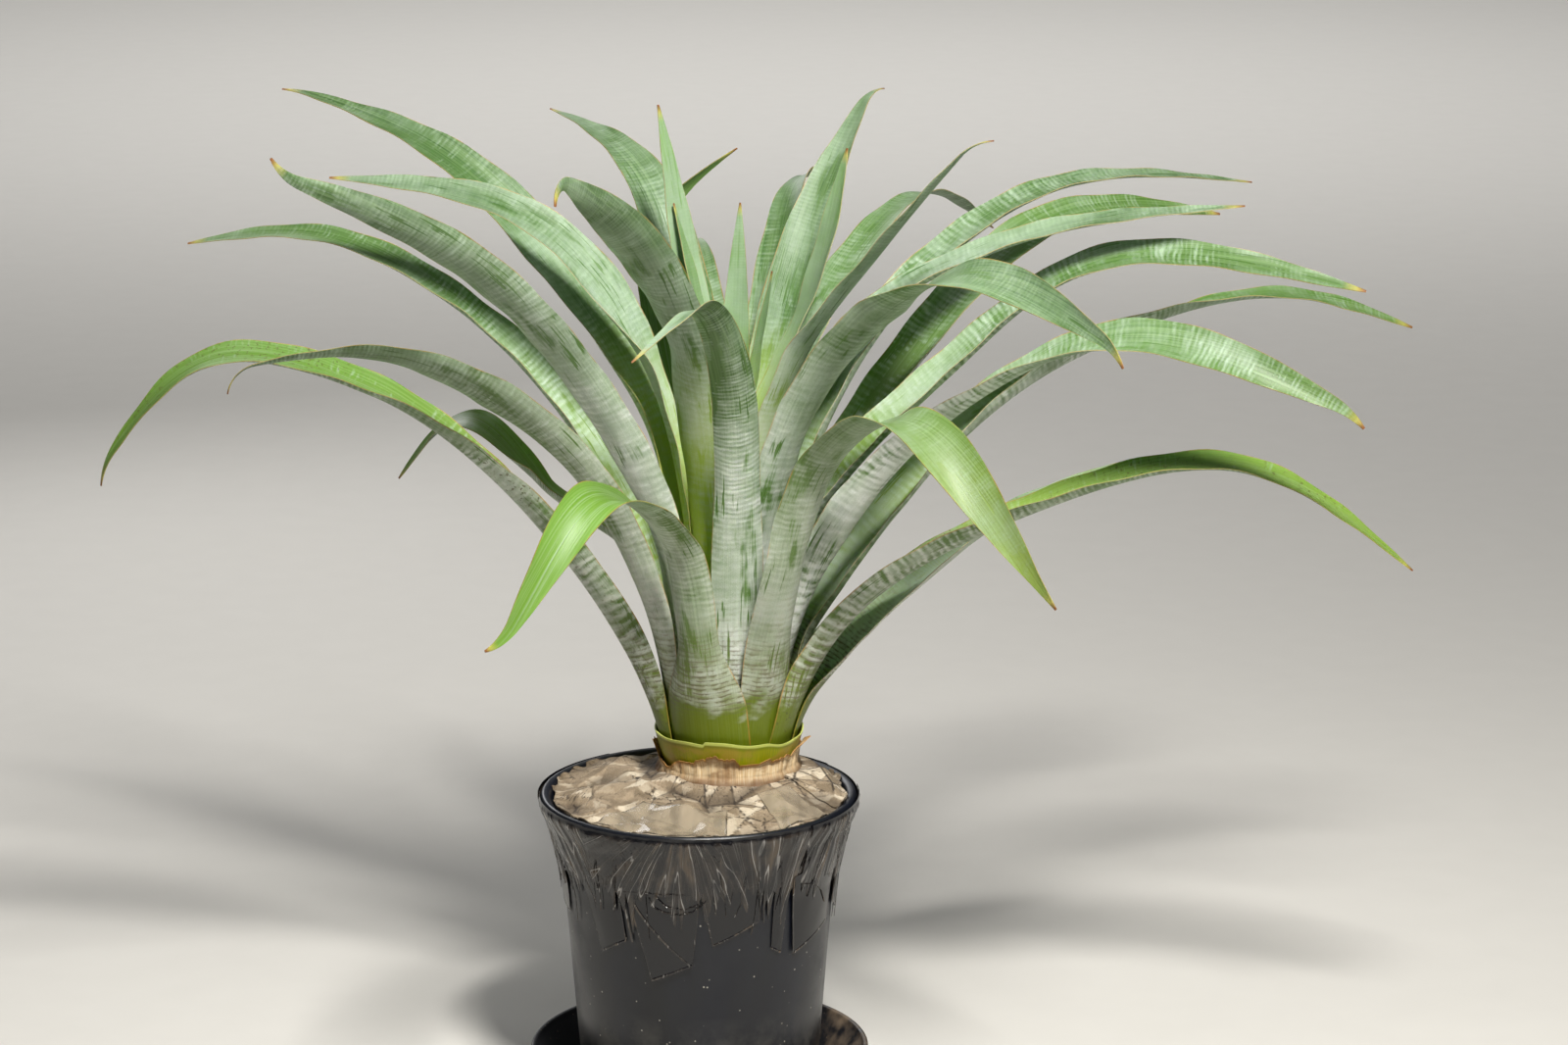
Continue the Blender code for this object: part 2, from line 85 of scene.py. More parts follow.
def finishSkin(shader, add, skin, roughness, bump, more=()):
    relief, strength, depth = bump  # depth in metres
    relief = add("Bump", {"Height": relief, "Strength": strength, "Distance": depth})
    setSockets(shader, {"Base Color": skin, "Roughness": roughness, "Normal": relief,
                        **dict(more)})


def smoothStep(x, start, end):
    t = np.clip((np.asarray(x, float) - start) / (end - start), 0.0, 1.0)
    return t * t * (3.0 - 2.0 * t)


def softNoise(x, y, seed):  # smooth value noise, 0 to 1, one cell per unit
    lattice = np.random.RandomState(seed).rand(64, 64)
    x, y = np.broadcast_arrays(np.asarray(x, float), np.asarray(y, float))
    xi, yi = np.floor(x).astype(int), np.floor(y).astype(int)
    fx, fy = smoothStep(x - xi, 0, 1), smoothStep(y - yi, 0, 1)
    a, b = lattice[xi % 64, yi % 64], lattice[(xi + 1) % 64, yi % 64]
    c, d = lattice[xi % 64, (yi + 1) % 64], lattice[(xi + 1) % 64, (yi + 1) % 64]
    return (a * (1 - fx) + b * fx) * (1 - fy) + (c * (1 - fx) + d * fx) * fy


def sheetFaces(rows, cols, first=0, wrap=False):  # closed thin solid between two grids
    under = first + rows * cols
    faces = []
    for i in range(rows if wrap else rows - 1):
        k = (i + 1) % rows
        for j in range(cols - 1):
            a, b = i * cols + j, k * cols + j
            faces.append((first + a, first + b, first + b + 1, first + a + 1))
            faces.append((under + a, under + a + 1, under + b + 1, under + b))
        for j in (0, cols - 1):
            a, b = i * cols + j, k * cols + j
            faces.append((first + a, under + a, under + b, first + b))
    if not wrap:
        for i in (0, rows - 1):
            for j in range(cols - 1):
                a = i * cols + j
                faces.append((first + a, first + a + 1, under + a + 1, under + a))
    return faces


def bothSides(upper, under):  # points of a sheet, in the order that sheetFaces expects
    return np.vstack([upper.reshape(-1, 3), under.reshape(-1, 3)])


def closedMesh(name, points, faces):  # points in mm, faces turned outward
    mesh = bpy.data.meshes.new(name)
    mesh.from_pydata((np.asarray(points) * mm).tolist(), [], faces)
    bm = bmesh.new()
    bm.from_mesh(mesh)
    bmesh.ops.recalc_face_normals(bm, faces=bm.faces)
    bm.to_mesh(mesh)
    bm.free()
    return mesh


def placeObject(name, data):
    thing = bpy.data.objects.new(name, data)
    bpy.context.scene.collection.objects.link(thing)
    return thing


# maps are UV layers and values are numbers at each point, both read by the materials
def addPiece(name, points, faces, material, replaced, maps=None, values=None, sharp=60.0):
    mesh = closedMesh(name, points, faces)
    for key, numbers in (values or {}).items():
        layer = mesh.attributes.new(key, "FLOAT", "POINT")
        layer.data.foreach_set("value", np.asarray(numbers, np.float32).ravel())
    corner = np.zeros(len(mesh.loops), np.int32)
    mesh.loops.foreach_get("vertex_index", corner)
    for key, uv in (maps or {}).items():
        layer = mesh.uv_layers.new(name=key)
        layer.data.foreach_set("uv", np.asarray(uv, np.float32)[corner].ravel())
    mesh.materials.append(material)
    mesh.shade_smooth()
    mesh.set_sharp_from_angle(angle=math.radians(sharp))
    piece = placeObject(name, mesh)
    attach(piece, "root")
    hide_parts(*replaced)
    return piece


# camera, floor and light
stageSetup = {
    "cameraAt": (0.054, -2.634, 1.009), "tiltDown": 13.7, "lens": 100.0,
    "sensor": 36.0, "floorSize": 32.0, "floorColor": "#cfccc6", "floorGrain": "#d3d0ca",
    "worldColor": "#dfe3e8", "worldStrength": 0.08,
    "lights": (  # name, place, aim, size, watts, colour
        ("keySoftbox", (0.32, -0.88, 1.58), (0.0, 0.0, 0.36), 0.30, 47.0, "#fffdf8"),
        ("topSoftbox", (-0.45, 0.15, 2.0), (0.0, 0.0, 0.40), 0.5, 4.0, "#ffffff"),
        ("frontFill", (-1.6, -2.2, 1.2), (0.0, 0.0, 0.30), 1.6, 1.0, "#f2f6ff"),
        ("rightFill", (1.2, -2.1, 0.95), (0.0, 0.0, 0.28), 0.6, 1.1, "#fffdf8"),
        ("backRim", (-0.6, 1.7, 1.0), (0.0, 0.0, 0.35), 0.9, 7.0, "#ffffff"),
        ("washBack", (0.0, 4.5, 3.2), (0.0, 6.5, 0.0), 4.0, 140.0, "#ffffff"),
        ("washRight", (4.5, 0.0, 3.2), (6.5, 0.0, 0.0), 4.0, 100.0, "#ffffff"),
        ("washLeft", (-4.5, 0.0, 3.2), (-6.5, 0.0, 0.0), 4.0, 100.0, "#ffffff"),
        ("washFront", (0.0, -5.5, 3.2), (0.0, -7.5, 0.0), 4.0, 100.0, "#ffffff"),
    ),
}


def buildStage(setup):
    cameraData = bpy.data.cameras.new("photoCamera")
    cameraData.lens = setup["lens"]
    cameraData.sensor_width = setup["sensor"]
    cameraData.clip_end = 60.0  # past the far edge of the floor
    camera = placeObject("photoCamera", cameraData)
    camera.location = setup["cameraAt"]
    camera.rotation_euler = (math.radians(90.0 - setup["tiltDown"]), 0.0, 0.0)
    bpy.context.scene.camera = camera

    half = setup["floorSize"] / 2
    mesh = bpy.data.meshes.new("studioFloor")
    mesh.from_pydata([(-half, -half, 0), (half, -half, 0), (half, half, 0), (-half, half, 0)],
                     [], [(0, 1, 2, 3)])
    floor = placeObject("studioFloor", mesh)
    # painted board, rolled matt: one even pale ground without a shine, mottled every 36 mm
    material, shader, add = newMaterial("floor board, matt painted")
    grain = add("TexNoise", {"Scale": 900.0, "Detail": 2.0})
    tone = layColors(add, setup["floorColor"], ((grain, setup["floorGrain"]),))
    setSockets(shader, {"Base Color": tone, "Roughness": 0.85})
    mesh.materials.append(material)

    for name, place, aim, size, watts, color in setup["lights"]:
        light = bpy.data.lights.new(name, "AREA")
        light.shape = "DISK"
        light.size = size
        light.energy = watts
        light.color = hexToLinear(color)[:3]
        lamp = placeObject(name, light)
        lamp.location = place
        away = np.array(place) - np.array(aim)
        lamp.rotation_euler = (math.atan2(math.hypot(away[0], away[1]), away[2]), 0.0,
                               math.atan2(away[1], away[0]) + math.pi / 2)

    world = bpy.data.worlds.new("studioWorld")
    world.use_nodes = True
    setSockets(world.node_tree.nodes["Background"], {
        "Color": hexToLinear(setup["worldColor"]), "Strength": setup["worldStrength"]})
    bpy.context.scene.world = world
    bpy.context.scene.view_settings.view_transform = "Standard"  # colours as given


buildStage(stageSetup)
print("stage: camera, floor, softboxes")


# leaf skins: living blades, waxy green under a bloom of grey-white scales, which make them sage
# and matt, banded across, with bare glossy lime and olive at the foot, the lime brightened into a
# painted glow
# numbers at each point: along and across the blade, 1 on the face toward the heart, height above
# the crown in 100 mm, then the leaf's own marks from leafMarks
leafValues = ("along", "across", "innerFace", "height", "bloom", "bareFar", "freckle",
              "banding", "lime")
leafSkins = {
    "leaf_mature": {
        "name": "living leaf blade, green under a powdery bloom of scales",
        "base": "#667604", "body": "#466627", "far": "#264319", "inner": "#4e723a",
        "bloomOut": "#dfe3dd", "bloomIn": "#c6d6c6", "coverOut": 0.58, "coverIn": 0.50,
        "bandOut": 0.84, "bandIn": 0.44, "roughness": 0.56},
    "leaf_old": {
        "name": "older living leaf blade, worn bloom and brown freckles",
        "base": "#637004", "body": "#465f22", "far": "#284117", "inner": "#466e30",
        "bloomOut": "#c4c8bd", "bloomIn": "#b7cab0", "coverOut": 0.50, "coverIn": 0.42,
        "bandOut": 0.90, "bandIn": 0.50, "roughness": 0.54},
    "leaf_heart": {
        "name": "young living leaf blade, lime under a thin bloom",
        "base": "#a9c21c", "body": "#7d9c62", "far": "#668753", "inner": "#7b9a5e",
        "bloomOut": "#d2e0d0", "bloomIn": "#cfdfcc", "coverOut": 0.66, "coverIn": 0.62,
        "bandOut": 0.30, "bandIn": 0.26, "roughness": 0.50},
}
leafTints = {
    # lime: the leaves' own lime, made bright to stand for light shining through the leaf: painted glow
    "lime": "#dcf05a", "bareInside": "#5f8628", "vein": "#a3bf86", "rippleShade": "#5f5b3e",
    "freckle": "#4b4620", "margin": "#a9772f", "tip": "#a89c4c", "tipEnd": "#7a4c28",
    "dullScales": "#93a08c", "grime": "#85836c", "tipScalesAndShade": "#82977b"}
leafPatterns = {  # cells in 100 mm across and along, detail, roughness
    "drift": (2.6, 3.4, 1.0, 0.5),       # bends the rows a little
    "tufts": (13.0, 17.0, 3.0, 0.65),    # breaks the broad bands into soft tufts
    "stray": (4.2, 14.5, 2.0, 0.6),      # uneven bands, 7 mm and wider
    "bandPlace": (2.2, 1.9, 1.0, 0.5),   # where the broad bands show
    "blotches": (2.2, 1.5, 3.0, 0.55),   # where the bloom lies thick or thin
    "worn": (6.0, 1.6, 3.0, 0.6),        # long green patches rubbed bare
    "veins": (85.0, 0.9, 2.0, 0.5),      # lengthwise veins, about 1 mm apart
    "rubs": (52.0, 2.6, 2.0, 0.6),       # thin green scratches in the bloom
    "rubPlace": (2.8, 1.8, 1.0, 0.5),    # where the scratches gather
    "specks": (30.0, 34.0, 2.0, 0.6),    # freckles, 2 to 3 mm
    "meal": (120.0, 150.0, 3.0, 0.7),    # the scales, 0.2 mm wide, drawn at 0.8 mm to show
    "cloud": (3.2, 5.0, 3.0, 0.6),       # edge of the powder above the leaf's foot
}


def leafSkin(look, tints):
    material, shader, add = newMaterial(look["name"])
    leafMap = add("UVMap", uv_map="leafMap")  # one unit is 100 mm
    lengthwise = add("SeparateXYZ", (leafMap,), 1)
    given = {key: add("Attribute", out="Fac", attribute_name=key) for key in leafValues}
    along, inner, height = given["along"], given["innerFace"], given["height"]
    across = add("Math", (given["across"],), operation="ABSOLUTE")
    seen = {}
    for k, (key, (wide, long, detail, rough)) in enumerate(leafPatterns.items()):
        place = add("Mapping", {"Vector": leafMap, "Scale": (wide, long, 1.0),
                                "Location": (3.0 * k, 5.0 * k, 0.0)})
        seen[key] = add("TexNoise", {"Vector": place, "Scale": 1.0, "Detail": detail,
                                     "Roughness": rough})
    closer = add("Math", (along, 62.0, 60.0), operation="MULTIPLY_ADD")
    count = {"band": add("Math", (along, closer), operation="MULTIPLY"),  # 8 down to 3 mm apart
             "rippleShade": add("Math", (lengthwise, 32.0), operation="MULTIPLY")}  # 3 mm apart
    bent = add("Math", (seen["drift"], 2.4), operation="MULTIPLY")
    bent = add("Math", (seen["tufts"], 0.9, bent), operation="MULTIPLY_ADD")  # rows wander
    rows = {}
    for key, turns in count.items():
        turned = add("Math", (add("Math", (turns, bent), operation="ADD"), 2 * math.pi),
                     operation="MULTIPLY")
        rows[key] = add("Math", (turned,), operation="SINE")

    # how thickly the scales cover the green, 0 to 1
    sizes = [add("Mix", {0: inner, 2: look[key + "Out"], 3: look[key + "In"]},
                 data_type="FLOAT") for key in ("cover", "band")]
    cover = add("Math", (sizes[0], given["bloom"]), operation="ADD")
    fading = add("MapRange", (along, 0.12, 0.75, 0.12, -0.22), interpolation_type="SMOOTHSTEP")
    cover = add("Math", (cover, fading), operation="ADD")  # thinner toward the tip
    tufted = add("MapRange", (seen["tufts"], 0.36, 0.64, 0.2, 1.0))
    banded = add("MapRange", (seen["bandPlace"], 0.38, 0.60, 0.25, 1.0),
                 interpolation_type="SMOOTHSTEP")
    banded = add("Math", (banded, given["banding"]), operation="MULTIPLY")
    banded = add("Math", (banded, sizes[1]), operation="MULTIPLY")
    bands = add("Math", (rows["band"], 0.6), operation="MULTIPLY")
    bands = add("Math", (add("MapRange", (seen["stray"], 0.36, 0.64, -0.7, 0.7)), bands),
                operation="ADD")
    bands = add("Math", (bands, tufted), operation="MULTIPLY")
    bands = add("Math", (bands, add("MapRange", (along, 0.4, 0.7, 1.0, 1.5))),
                operation="MULTIPLY")  # clearer where the powder is thin
    cover = add("Math", (bands, banded, cover), operation="MULTIPLY_ADD")
    uneven = add("MapRange", (height, 1.3, 0.5, 1.35, 2.3))  # mottled above the foot
    for key, size in (("blotches", uneven), ("tufts", 0.50), ("veins", 0.20), ("meal", 0.26)):
        around = add("Math", (seen[key], 0.5), operation="SUBTRACT")
        cover = add("Math", (around, size, cover), operation="MULTIPLY_ADD")
    rubbed = add("Math", (add("MapRange", (seen["rubs"], 0.575, 0.62)),
                          add("MapRange", (seen["rubPlace"], 0.53, 0.60))), operation="MULTIPLY")
    cover = add("Math", (rubbed, -0.8, cover), operation="MULTIPLY_ADD")  # green scratches
    streaked = add("Math", (seen["veins"], 0.30, seen["worn"]), operation="MULTIPLY_ADD")
    thin = add("MapRange", (streaked, 0.72, 0.82, 0.0, 0.50))
    cover = add("Math", (cover, thin), operation="SUBTRACT")  # patches rubbed bare
    bare = add("Math", (given["bareFar"], add("MapRange", (along, 0.40, 0.62),
                                              interpolation_type="SMOOTHSTEP")),
               operation="MULTIPLY")
    bareInside = add("Math", (bare, inner), operation="MULTIPLY")
    cover = add("Math", (bareInside, -0.50, cover), operation="MULTIPLY_ADD")
    # lime at the foot of the inner faces and of young leaves: their own colour, brightened as a
    # painted glow
    inside = add("Math", (inner, 0.3), operation="MULTIPLY")  # each inner face has some lime
    limeFootGlow = add("Math", (add("Math", (inside, given["lime"]), operation="MAXIMUM"),
                            add("MapRange", (height, 1.2, 2.7, 1.0, 0.0))), operation="MULTIPLY")
    cover = add("Math", (limeFootGlow, -0.75, cover), operation="MULTIPLY_ADD")
    paleVeinsAndHighlight = add("Math", (add("MapRange", (seen["veins"], 0.50, 0.66)),
                        add("MapRange", (across, 0.8, 0.25))), operation="MULTIPLY")
    paleVeinsAndHighlight = add("Math", (paleVeinsAndHighlight, bare), operation="MULTIPLY")
    paleVeinsAndHighlight = add("Math", (paleVeinsAndHighlight, 0.55), operation="MULTIPLY")
    cover = add("Math", (paleVeinsAndHighlight, cover), operation="MAXIMUM")  # pale vein streaks in the bare half, strongest along its middle: bloom on the veins and a painted highlight
    border = add("Math", (seen["cloud"], 0.62, height), operation="MULTIPLY_ADD")
    powdered = add("MapRange", (border, 0.63, 0.78), interpolation_type="SMOOTHSTEP")
    cover = add("Math", (cover, powdered), operation="MULTIPLY")  # bare, glossy foot
    cover = add("Clamp", (cover, 0.0, 0.97))

    # colour of the scales: duller in places, with soil splashed on them near the foot, and darker
    # toward the tip, partly as painted shade
    dull = add("MapRange", (seen["meal"], 0.3, 0.7, 0.22, 0.0))
    grimy = add("Math", (add("MapRange", (seen["tufts"], 0.46, 0.64, 0.0, 0.75)),
                         add("MapRange", (height, 1.3, 0.6))), operation="MULTIPLY")
    outer = add("MapRange", (along, 0.40, 0.75, 0.0, 0.85))
    powder = layColors(add, look["bloomOut"], (
        (inner, look["bloomIn"]), (dull, tints["dullScales"]), (grimy, tints["grime"]),
        (outer, tints["tipScalesAndShade"])))

    body = add("MapRange", (height, 0.25, 1.0))
    innerFace = add("Math", (inner, add("MapRange", (height, 0.2, 0.9, 0.4, 0.85))),
                    operation="MULTIPLY")
    # the green darkens toward the tip: partly the leaf's own deeper green, partly painted shade
    far = add("MapRange", (along, 0.45, 0.85, 0.0, 0.8))
    veined = add("Math", (add("MapRange", (seen["veins"], 0.35, 0.7)),
                          add("MapRange", (height, 0.4, 1.2, 0.06, 0.22))), operation="MULTIPLY")
    # painted shade: dark rows 3 mm apart a little above the foot, where the skin ripples
    rippleShadeRows = add("Math", (add("MapRange", (rows["rippleShade"], 0.0, 1.0)),
                            add("MapRange", (seen["tufts"], 0.36, 0.54))), operation="MULTIPLY")
    nearFoot = add("Math", (add("MapRange", (height, 0.30, 0.40)),
                            add("MapRange", (height, 0.95, 0.55, 0.0, 0.85))),
                   operation="MULTIPLY")
    rippleShadeRows = add("Math", (rippleShadeRows, nearFoot), operation="MULTIPLY")
    freckled = add("Math", (given["freckle"], add("MapRange", (seen["blotches"], 0.44, 0.58))),
                   operation="MULTIPLY")
    freckles = add("Math", (add("MapRange", (seen["specks"], 0.58, 0.66)), freckled),
                   operation="MULTIPLY")
    margin = add("Math", (add("MapRange", (across, 0.965, 0.985)),
                          add("MapRange", (seen["cloud"], 0.42, 0.56, 0.0, 0.65))),
                 operation="MULTIPLY")
    tip = add("MapRange", (along, 0.972, 0.990, 0.0, 0.8))
    tipEnd = add("MapRange", (along, 0.988, 0.998))
    skin = layColors(add, look["base"], (
        (body, look["body"]), (innerFace, look["inner"]), (far, look["far"]),
        (limeFootGlow, tints["lime"]), (bareInside, tints["bareInside"]), (veined, tints["vein"]),
        (cover, powder), (rippleShadeRows, tints["rippleShade"]), (freckles, tints["freckle"]),
        (margin, tints["margin"]), (tip, tints["tip"]), (tipEnd, tints["tipEnd"])))

    rough = add("Mix", {0: cover, 2: look["roughness"] - 0.12, 3: look["roughness"]},
                data_type="FLOAT")  # bare green is glossier than the scales
    relief = add("Math", (cover, 0.8), operation="MULTIPLY")
    for key, size in (("veins", 0.6), ("meal", 0.35)):
        relief = add("Math", (seen[key], size, relief), operation="MULTIPLY_ADD")
    finishSkin(shader, add, skin, rough, (relief, 0.35, 0.0006), {
        "IOR": 1.42, "Subsurface Weight": 0.20, "Subsurface Scale": 0.003,
        "Subsurface Radius": (0.6, 1.0, 0.25)})
    return material


# leaf blades
leafShape = {"stations": 112, "strips": 14, "thick": 0.9, "edge": 0.5, "curlLength": 24.0,
             "lateSwing": 60.0, "waveHeight": 0.55, "wavePitch": 46.0,
             "oldLayers": 3, "heartLayer": 12}
# the leaf bases are nested like onion layers, outermost first
ringRadii = (42.0, 39.4, 36.9, 34.5, 32.2, 30.0, 27.9, 25.9, 24.0,
             22.1, 20.2, 18.3, 16.4, 14.4, 12.2, 9.8, 7.0)
# degrees round the plant from +X, layer, reach and height of four midrib points, swing of the
# tip, width, roll at 0.3 and 0.6 of the length and at the tip, half angles of the channel and of
# the clasping base, curl of the tip
leafTable = {
    "left_5": (181, 0, (95, 325, 220, 442, 320, 464, 398, 387), -4, 47, (-20, 5, 25), 74, 32, -25),
    "right_2": (16, 0, (78, 275, 138, 320, 195, 356, 262, 382), 0, 45, (-20, 10, 0), 62, 34, 0),
    "back_5": (96, 0, (75, 320, 145, 385, 230, 405, 310, 340), 0, 42, (0, 0, 0), 72, 30, 0),
    "front_1": (247, 1, (55, 290, 74, 358, 152, 405, 230, 322), -52, 37, (12, 15, 70), 74, 45, 50),
    "back_8": (137, 1, (60, 310, 155, 352, 232, 392, 288, 346), 18, 41, (-10, -30, 60), 62, 28, 0),
    "right_1": (354, 1, (74, 293, 192, 371, 318, 402, 427, 340), 0, 45, (10, -3, -15), 70, 45, 0),
    "front_2": (306, 2, (64, 324, 103, 418, 157, 450, 278, 357), 38, 44, (-18, 5, -90), 68, 30, 0),
    "left_6": (199, 2, (58, 318, 108, 410, 212, 477, 322, 475), -10, 39, (-15, -40, -15), 72, 28, -70),
    "back_4": (79, 2, (70, 345, 150, 430, 240, 465, 330, 430), 0, 40, (0, 0, 0), 72, 31, 0),
    "right_4": (17, 3, (96, 345, 216, 444, 370, 484, 466, 458), 0, 43, (-15, 35, -40), 72, 34, 0),
    "left_4": (163, 3, (63, 348, 144, 461, 262, 527, 362, 520), 6, 42, (10, 0, 25), 72, 34, 0),
    "front_3": (279, 3, (52, 380, 88, 472, 136, 523, 196, 508), -84, 33, (0, 0, -30), 78, 30, -20),
    "right_3": (346, 4, (71, 350, 157, 445, 246, 489, 402, 451), -20, 43, (28, -5, -85), 78, 33, -25),
    "back_3": (98, 3, (60, 370, 125, 455, 205, 500, 290, 470), 0, 38, (0, 0, 0), 72, 28, 0),
    "left_2": (213, 4, (50, 350, 109, 462, 180, 540, 316, 611), 0, 38, (-20, -30, -85), 72, 32, 35),
    "right_8": (38, 5, (70, 348, 150, 448, 250, 522, 400, 517), -20, 42, (10, -10, -45), 76, 33, 0),
    "left_1": (155, 5, (34, 362, 96, 484, 190, 574, 318, 617), 0, 43, (-10, 30, 10), 74, 34, -10),
    "right_5": (4, 6, (52, 354, 138, 454, 226, 522, 395, 508), -30, 42, (-15, -5, -50), 72, 34, 0),
    "back_2": (125, 4, (44, 376, 98, 472, 138, 526, 112, 576), -84, 34, (0, 0, 0), 74, 28, 0),
    "right_6": (25, 7, (44, 362, 114, 485, 215, 552, 376, 550), 0, 42, (0, 0, -10), 74, 31, 0),
    "right_9": (319, 7, (33, 352, 97, 478, 193, 540, 325, 512), -20, 43, (-10, 20, -100), 74, 34, -35),
    "left_3": (176, 7, (27, 352, 55, 465, 120, 548, 248, 576), 0, 42, (-20, 30, 25), 76, 34, 0),
    "back_14": (57, 8, (31, 352, 98, 468, 232, 536, 326, 500), 0, 32, (5, 5, 10), 62, 28, 0),
    "back_1": (125, 8, (23, 348, 40, 469, 92, 565, 205, 597), 0, 40, (0, 25, -5), 74, 27, 0),
    "front_5": (239, 8, (25, 341, 47, 453, 114, 545, 244, 618), 35, 42, (35, -5, -100), 74, 34, -90),
    "right_7": (0, 9, (27, 362, 76, 478, 167, 534, 320, 561), 0, 42, (0, -5, -15), 74, 34, 0),
    "back_13": (68, 10, (20, 340, 64, 447, 140, 555, 217, 540), 14, 38, (0, 25, 30), 74, 27, 0),
    "right_10": (336, 10, (19, 343, 48, 461, 108, 544, 174, 621), -8, 44, (20, -5, 0), 76, 34, -40),
    "right_11": (47, 11, (16, 341, 44, 452, 92, 554, 153, 626), 12, 40, (0, -40, 10), 74, 32, -50),
    "heart_3": (125, 12, (14, 333, 20, 440, 31, 540, 38, 622), 26, 29, (0, 0, 0), 74, 38, 0),
    "right_12": (9, 13, (14, 324, 22, 423, 55, 506, 76, 595), 4, 38, (0, -20, -35), 74, 38, 0),
    "heart_4": (160, 14, (11, 314, 14, 403, 19, 487, 36, 561), 0, 28, (0, 0, 0), 74, 38, 0),
    "heart_1": (80, 15, (10, 313, 14, 400, 18, 481, 22, 560), -4, 25, (0, 0, 0), 74, 38, 0),
    "heart_2": (330, 16, (8, 305, 11, 384, 20, 457, 34, 524), -3, 22, (0, 0, 0), 74, 38, 0),
}
# extra bloom, how bare and bright the outer half is, freckles, broad bands, lime below
leafMarks = {
    "others": (0, 0.15, 0, 0.6, 0), "left_5": (-0.05, 0.6, 0.8, 1, 0),
    "right_1": (0, 0.5, 0.9, 1, 0), "front_1": (0, 0.95, 0.1, 0.4, 0),
    "front_2": (0.05, 0, 0.1, 0.25, 0), "right_4": (0.05, 0.3, 0, 0.7, 0),
    "right_3": (0.12, 0.2, 0.1, 0.9, 0), "right_9": (-0.06, -0.2, 0, 0.3, 0),
    "front_3": (-0.06, -1.4, 0, 0.4, 0), "front_5": (0, 0.2, 0, 0.2, 1),
    "left_1": (-0.12, 0, 0, 0.6, 1), "left_3": (0.22, 0, 0, 0.4, 0.9),
    "right_6": (0.05, 0, 0, 0.9, 0), "right_7": (0.22, 0, 0, 0.5, 0),
    # right_2's large extra bloom also makes a leaf that lies in shade read pale: partly its bloom,
    # partly painted light
    "right_2": (0.8, 0.3, 0.3, 0.4, 0), "left_6": (0.08, 0.1, 0.2, 0.5, 0),
    "left_2": (0.06, 0.2, 0, 0.3, 0), "right_5": (0, 0.2, 0, 1, 0),
    "right_8": (-0.1, 0.3, 0, 1, 0), "right_10": (0.34, 0, 0, 0.2, 1),
    "right_11": (0.1, 0, 0, 0.3, 1), "right_12": (0.1, 0, 0, 0.2, 1),
    "back_2": (-0.3, 0.6, 0, 0.4, 0), "back_8": (-0.2, 0.7, 0.3, 0.8, 0),
    "left_4": (0, 0.2, 0, 1, 0), "heart_1": (0, 0, 0, 0.6, 1), "heart_2": (0, 0, 0, 0.6, 1),
    "heart_3": (0.2, 0, 0, 0.3, 1), "heart_4": (0, 0, 0, 0.6, 1), "back_1": (0.05, 0, 0, 0.4, 1),
    "back_13": (0, 0, 0, 0.5, 1),
}


def midribLine(points, lean, steps=60):  # smooth curve through the points, upright at its foot
    p = np.array(points, float)
    gaps = np.linalg.norm(np.diff(p, axis=0), axis=1) ** 0.8
    slope = np.diff(p, axis=0) / gaps[:, None]
    m = np.zeros_like(p)
    m[0] = np.array([lean, math.sqrt(1.0 - lean * lean)]) * np.linalg.norm(slope[0])
    before, after = gaps[:-1, None], gaps[1:, None]
    m[1:-1] = (after * slope[:-1] + before * slope[1:]) / (after + before)
    m[-1] = 1.5 * slope[-1] - 0.5 * m[-2]
    k = np.linspace(0.0, 1.0, steps, endpoint=False)[:, None]
    line = []
    for i in range(len(p) - 1):
        a, b = m[i] * gaps[i], m[i + 1] * gaps[i]
        line.append((2 * k**3 - 3 * k**2 + 1) * p[i] + (k**3 - 2 * k**2 + k) * a
                    + (3 * k**2 - 2 * k**3) * p[i + 1] + (k**3 - k**2) * b)
    return np.vstack(line + [p[-1:]])


def curlTip(line, degrees, length):
    step = np.diff(line, axis=0)
    size = np.linalg.norm(step, axis=1)
    s = np.cumsum(size)
    turn = np.clip((s - s[-1] + length) / length, 0.0, 1.0)
    angle = np.arctan2(step[:, 1], step[:, 0]) + math.radians(degrees) * turn
    moved = np.stack([np.cos(angle), np.sin(angle)], 1) * size[:, None]
    return np.vstack([line[:1], line[0] + np.cumsum(moved, axis=0)])


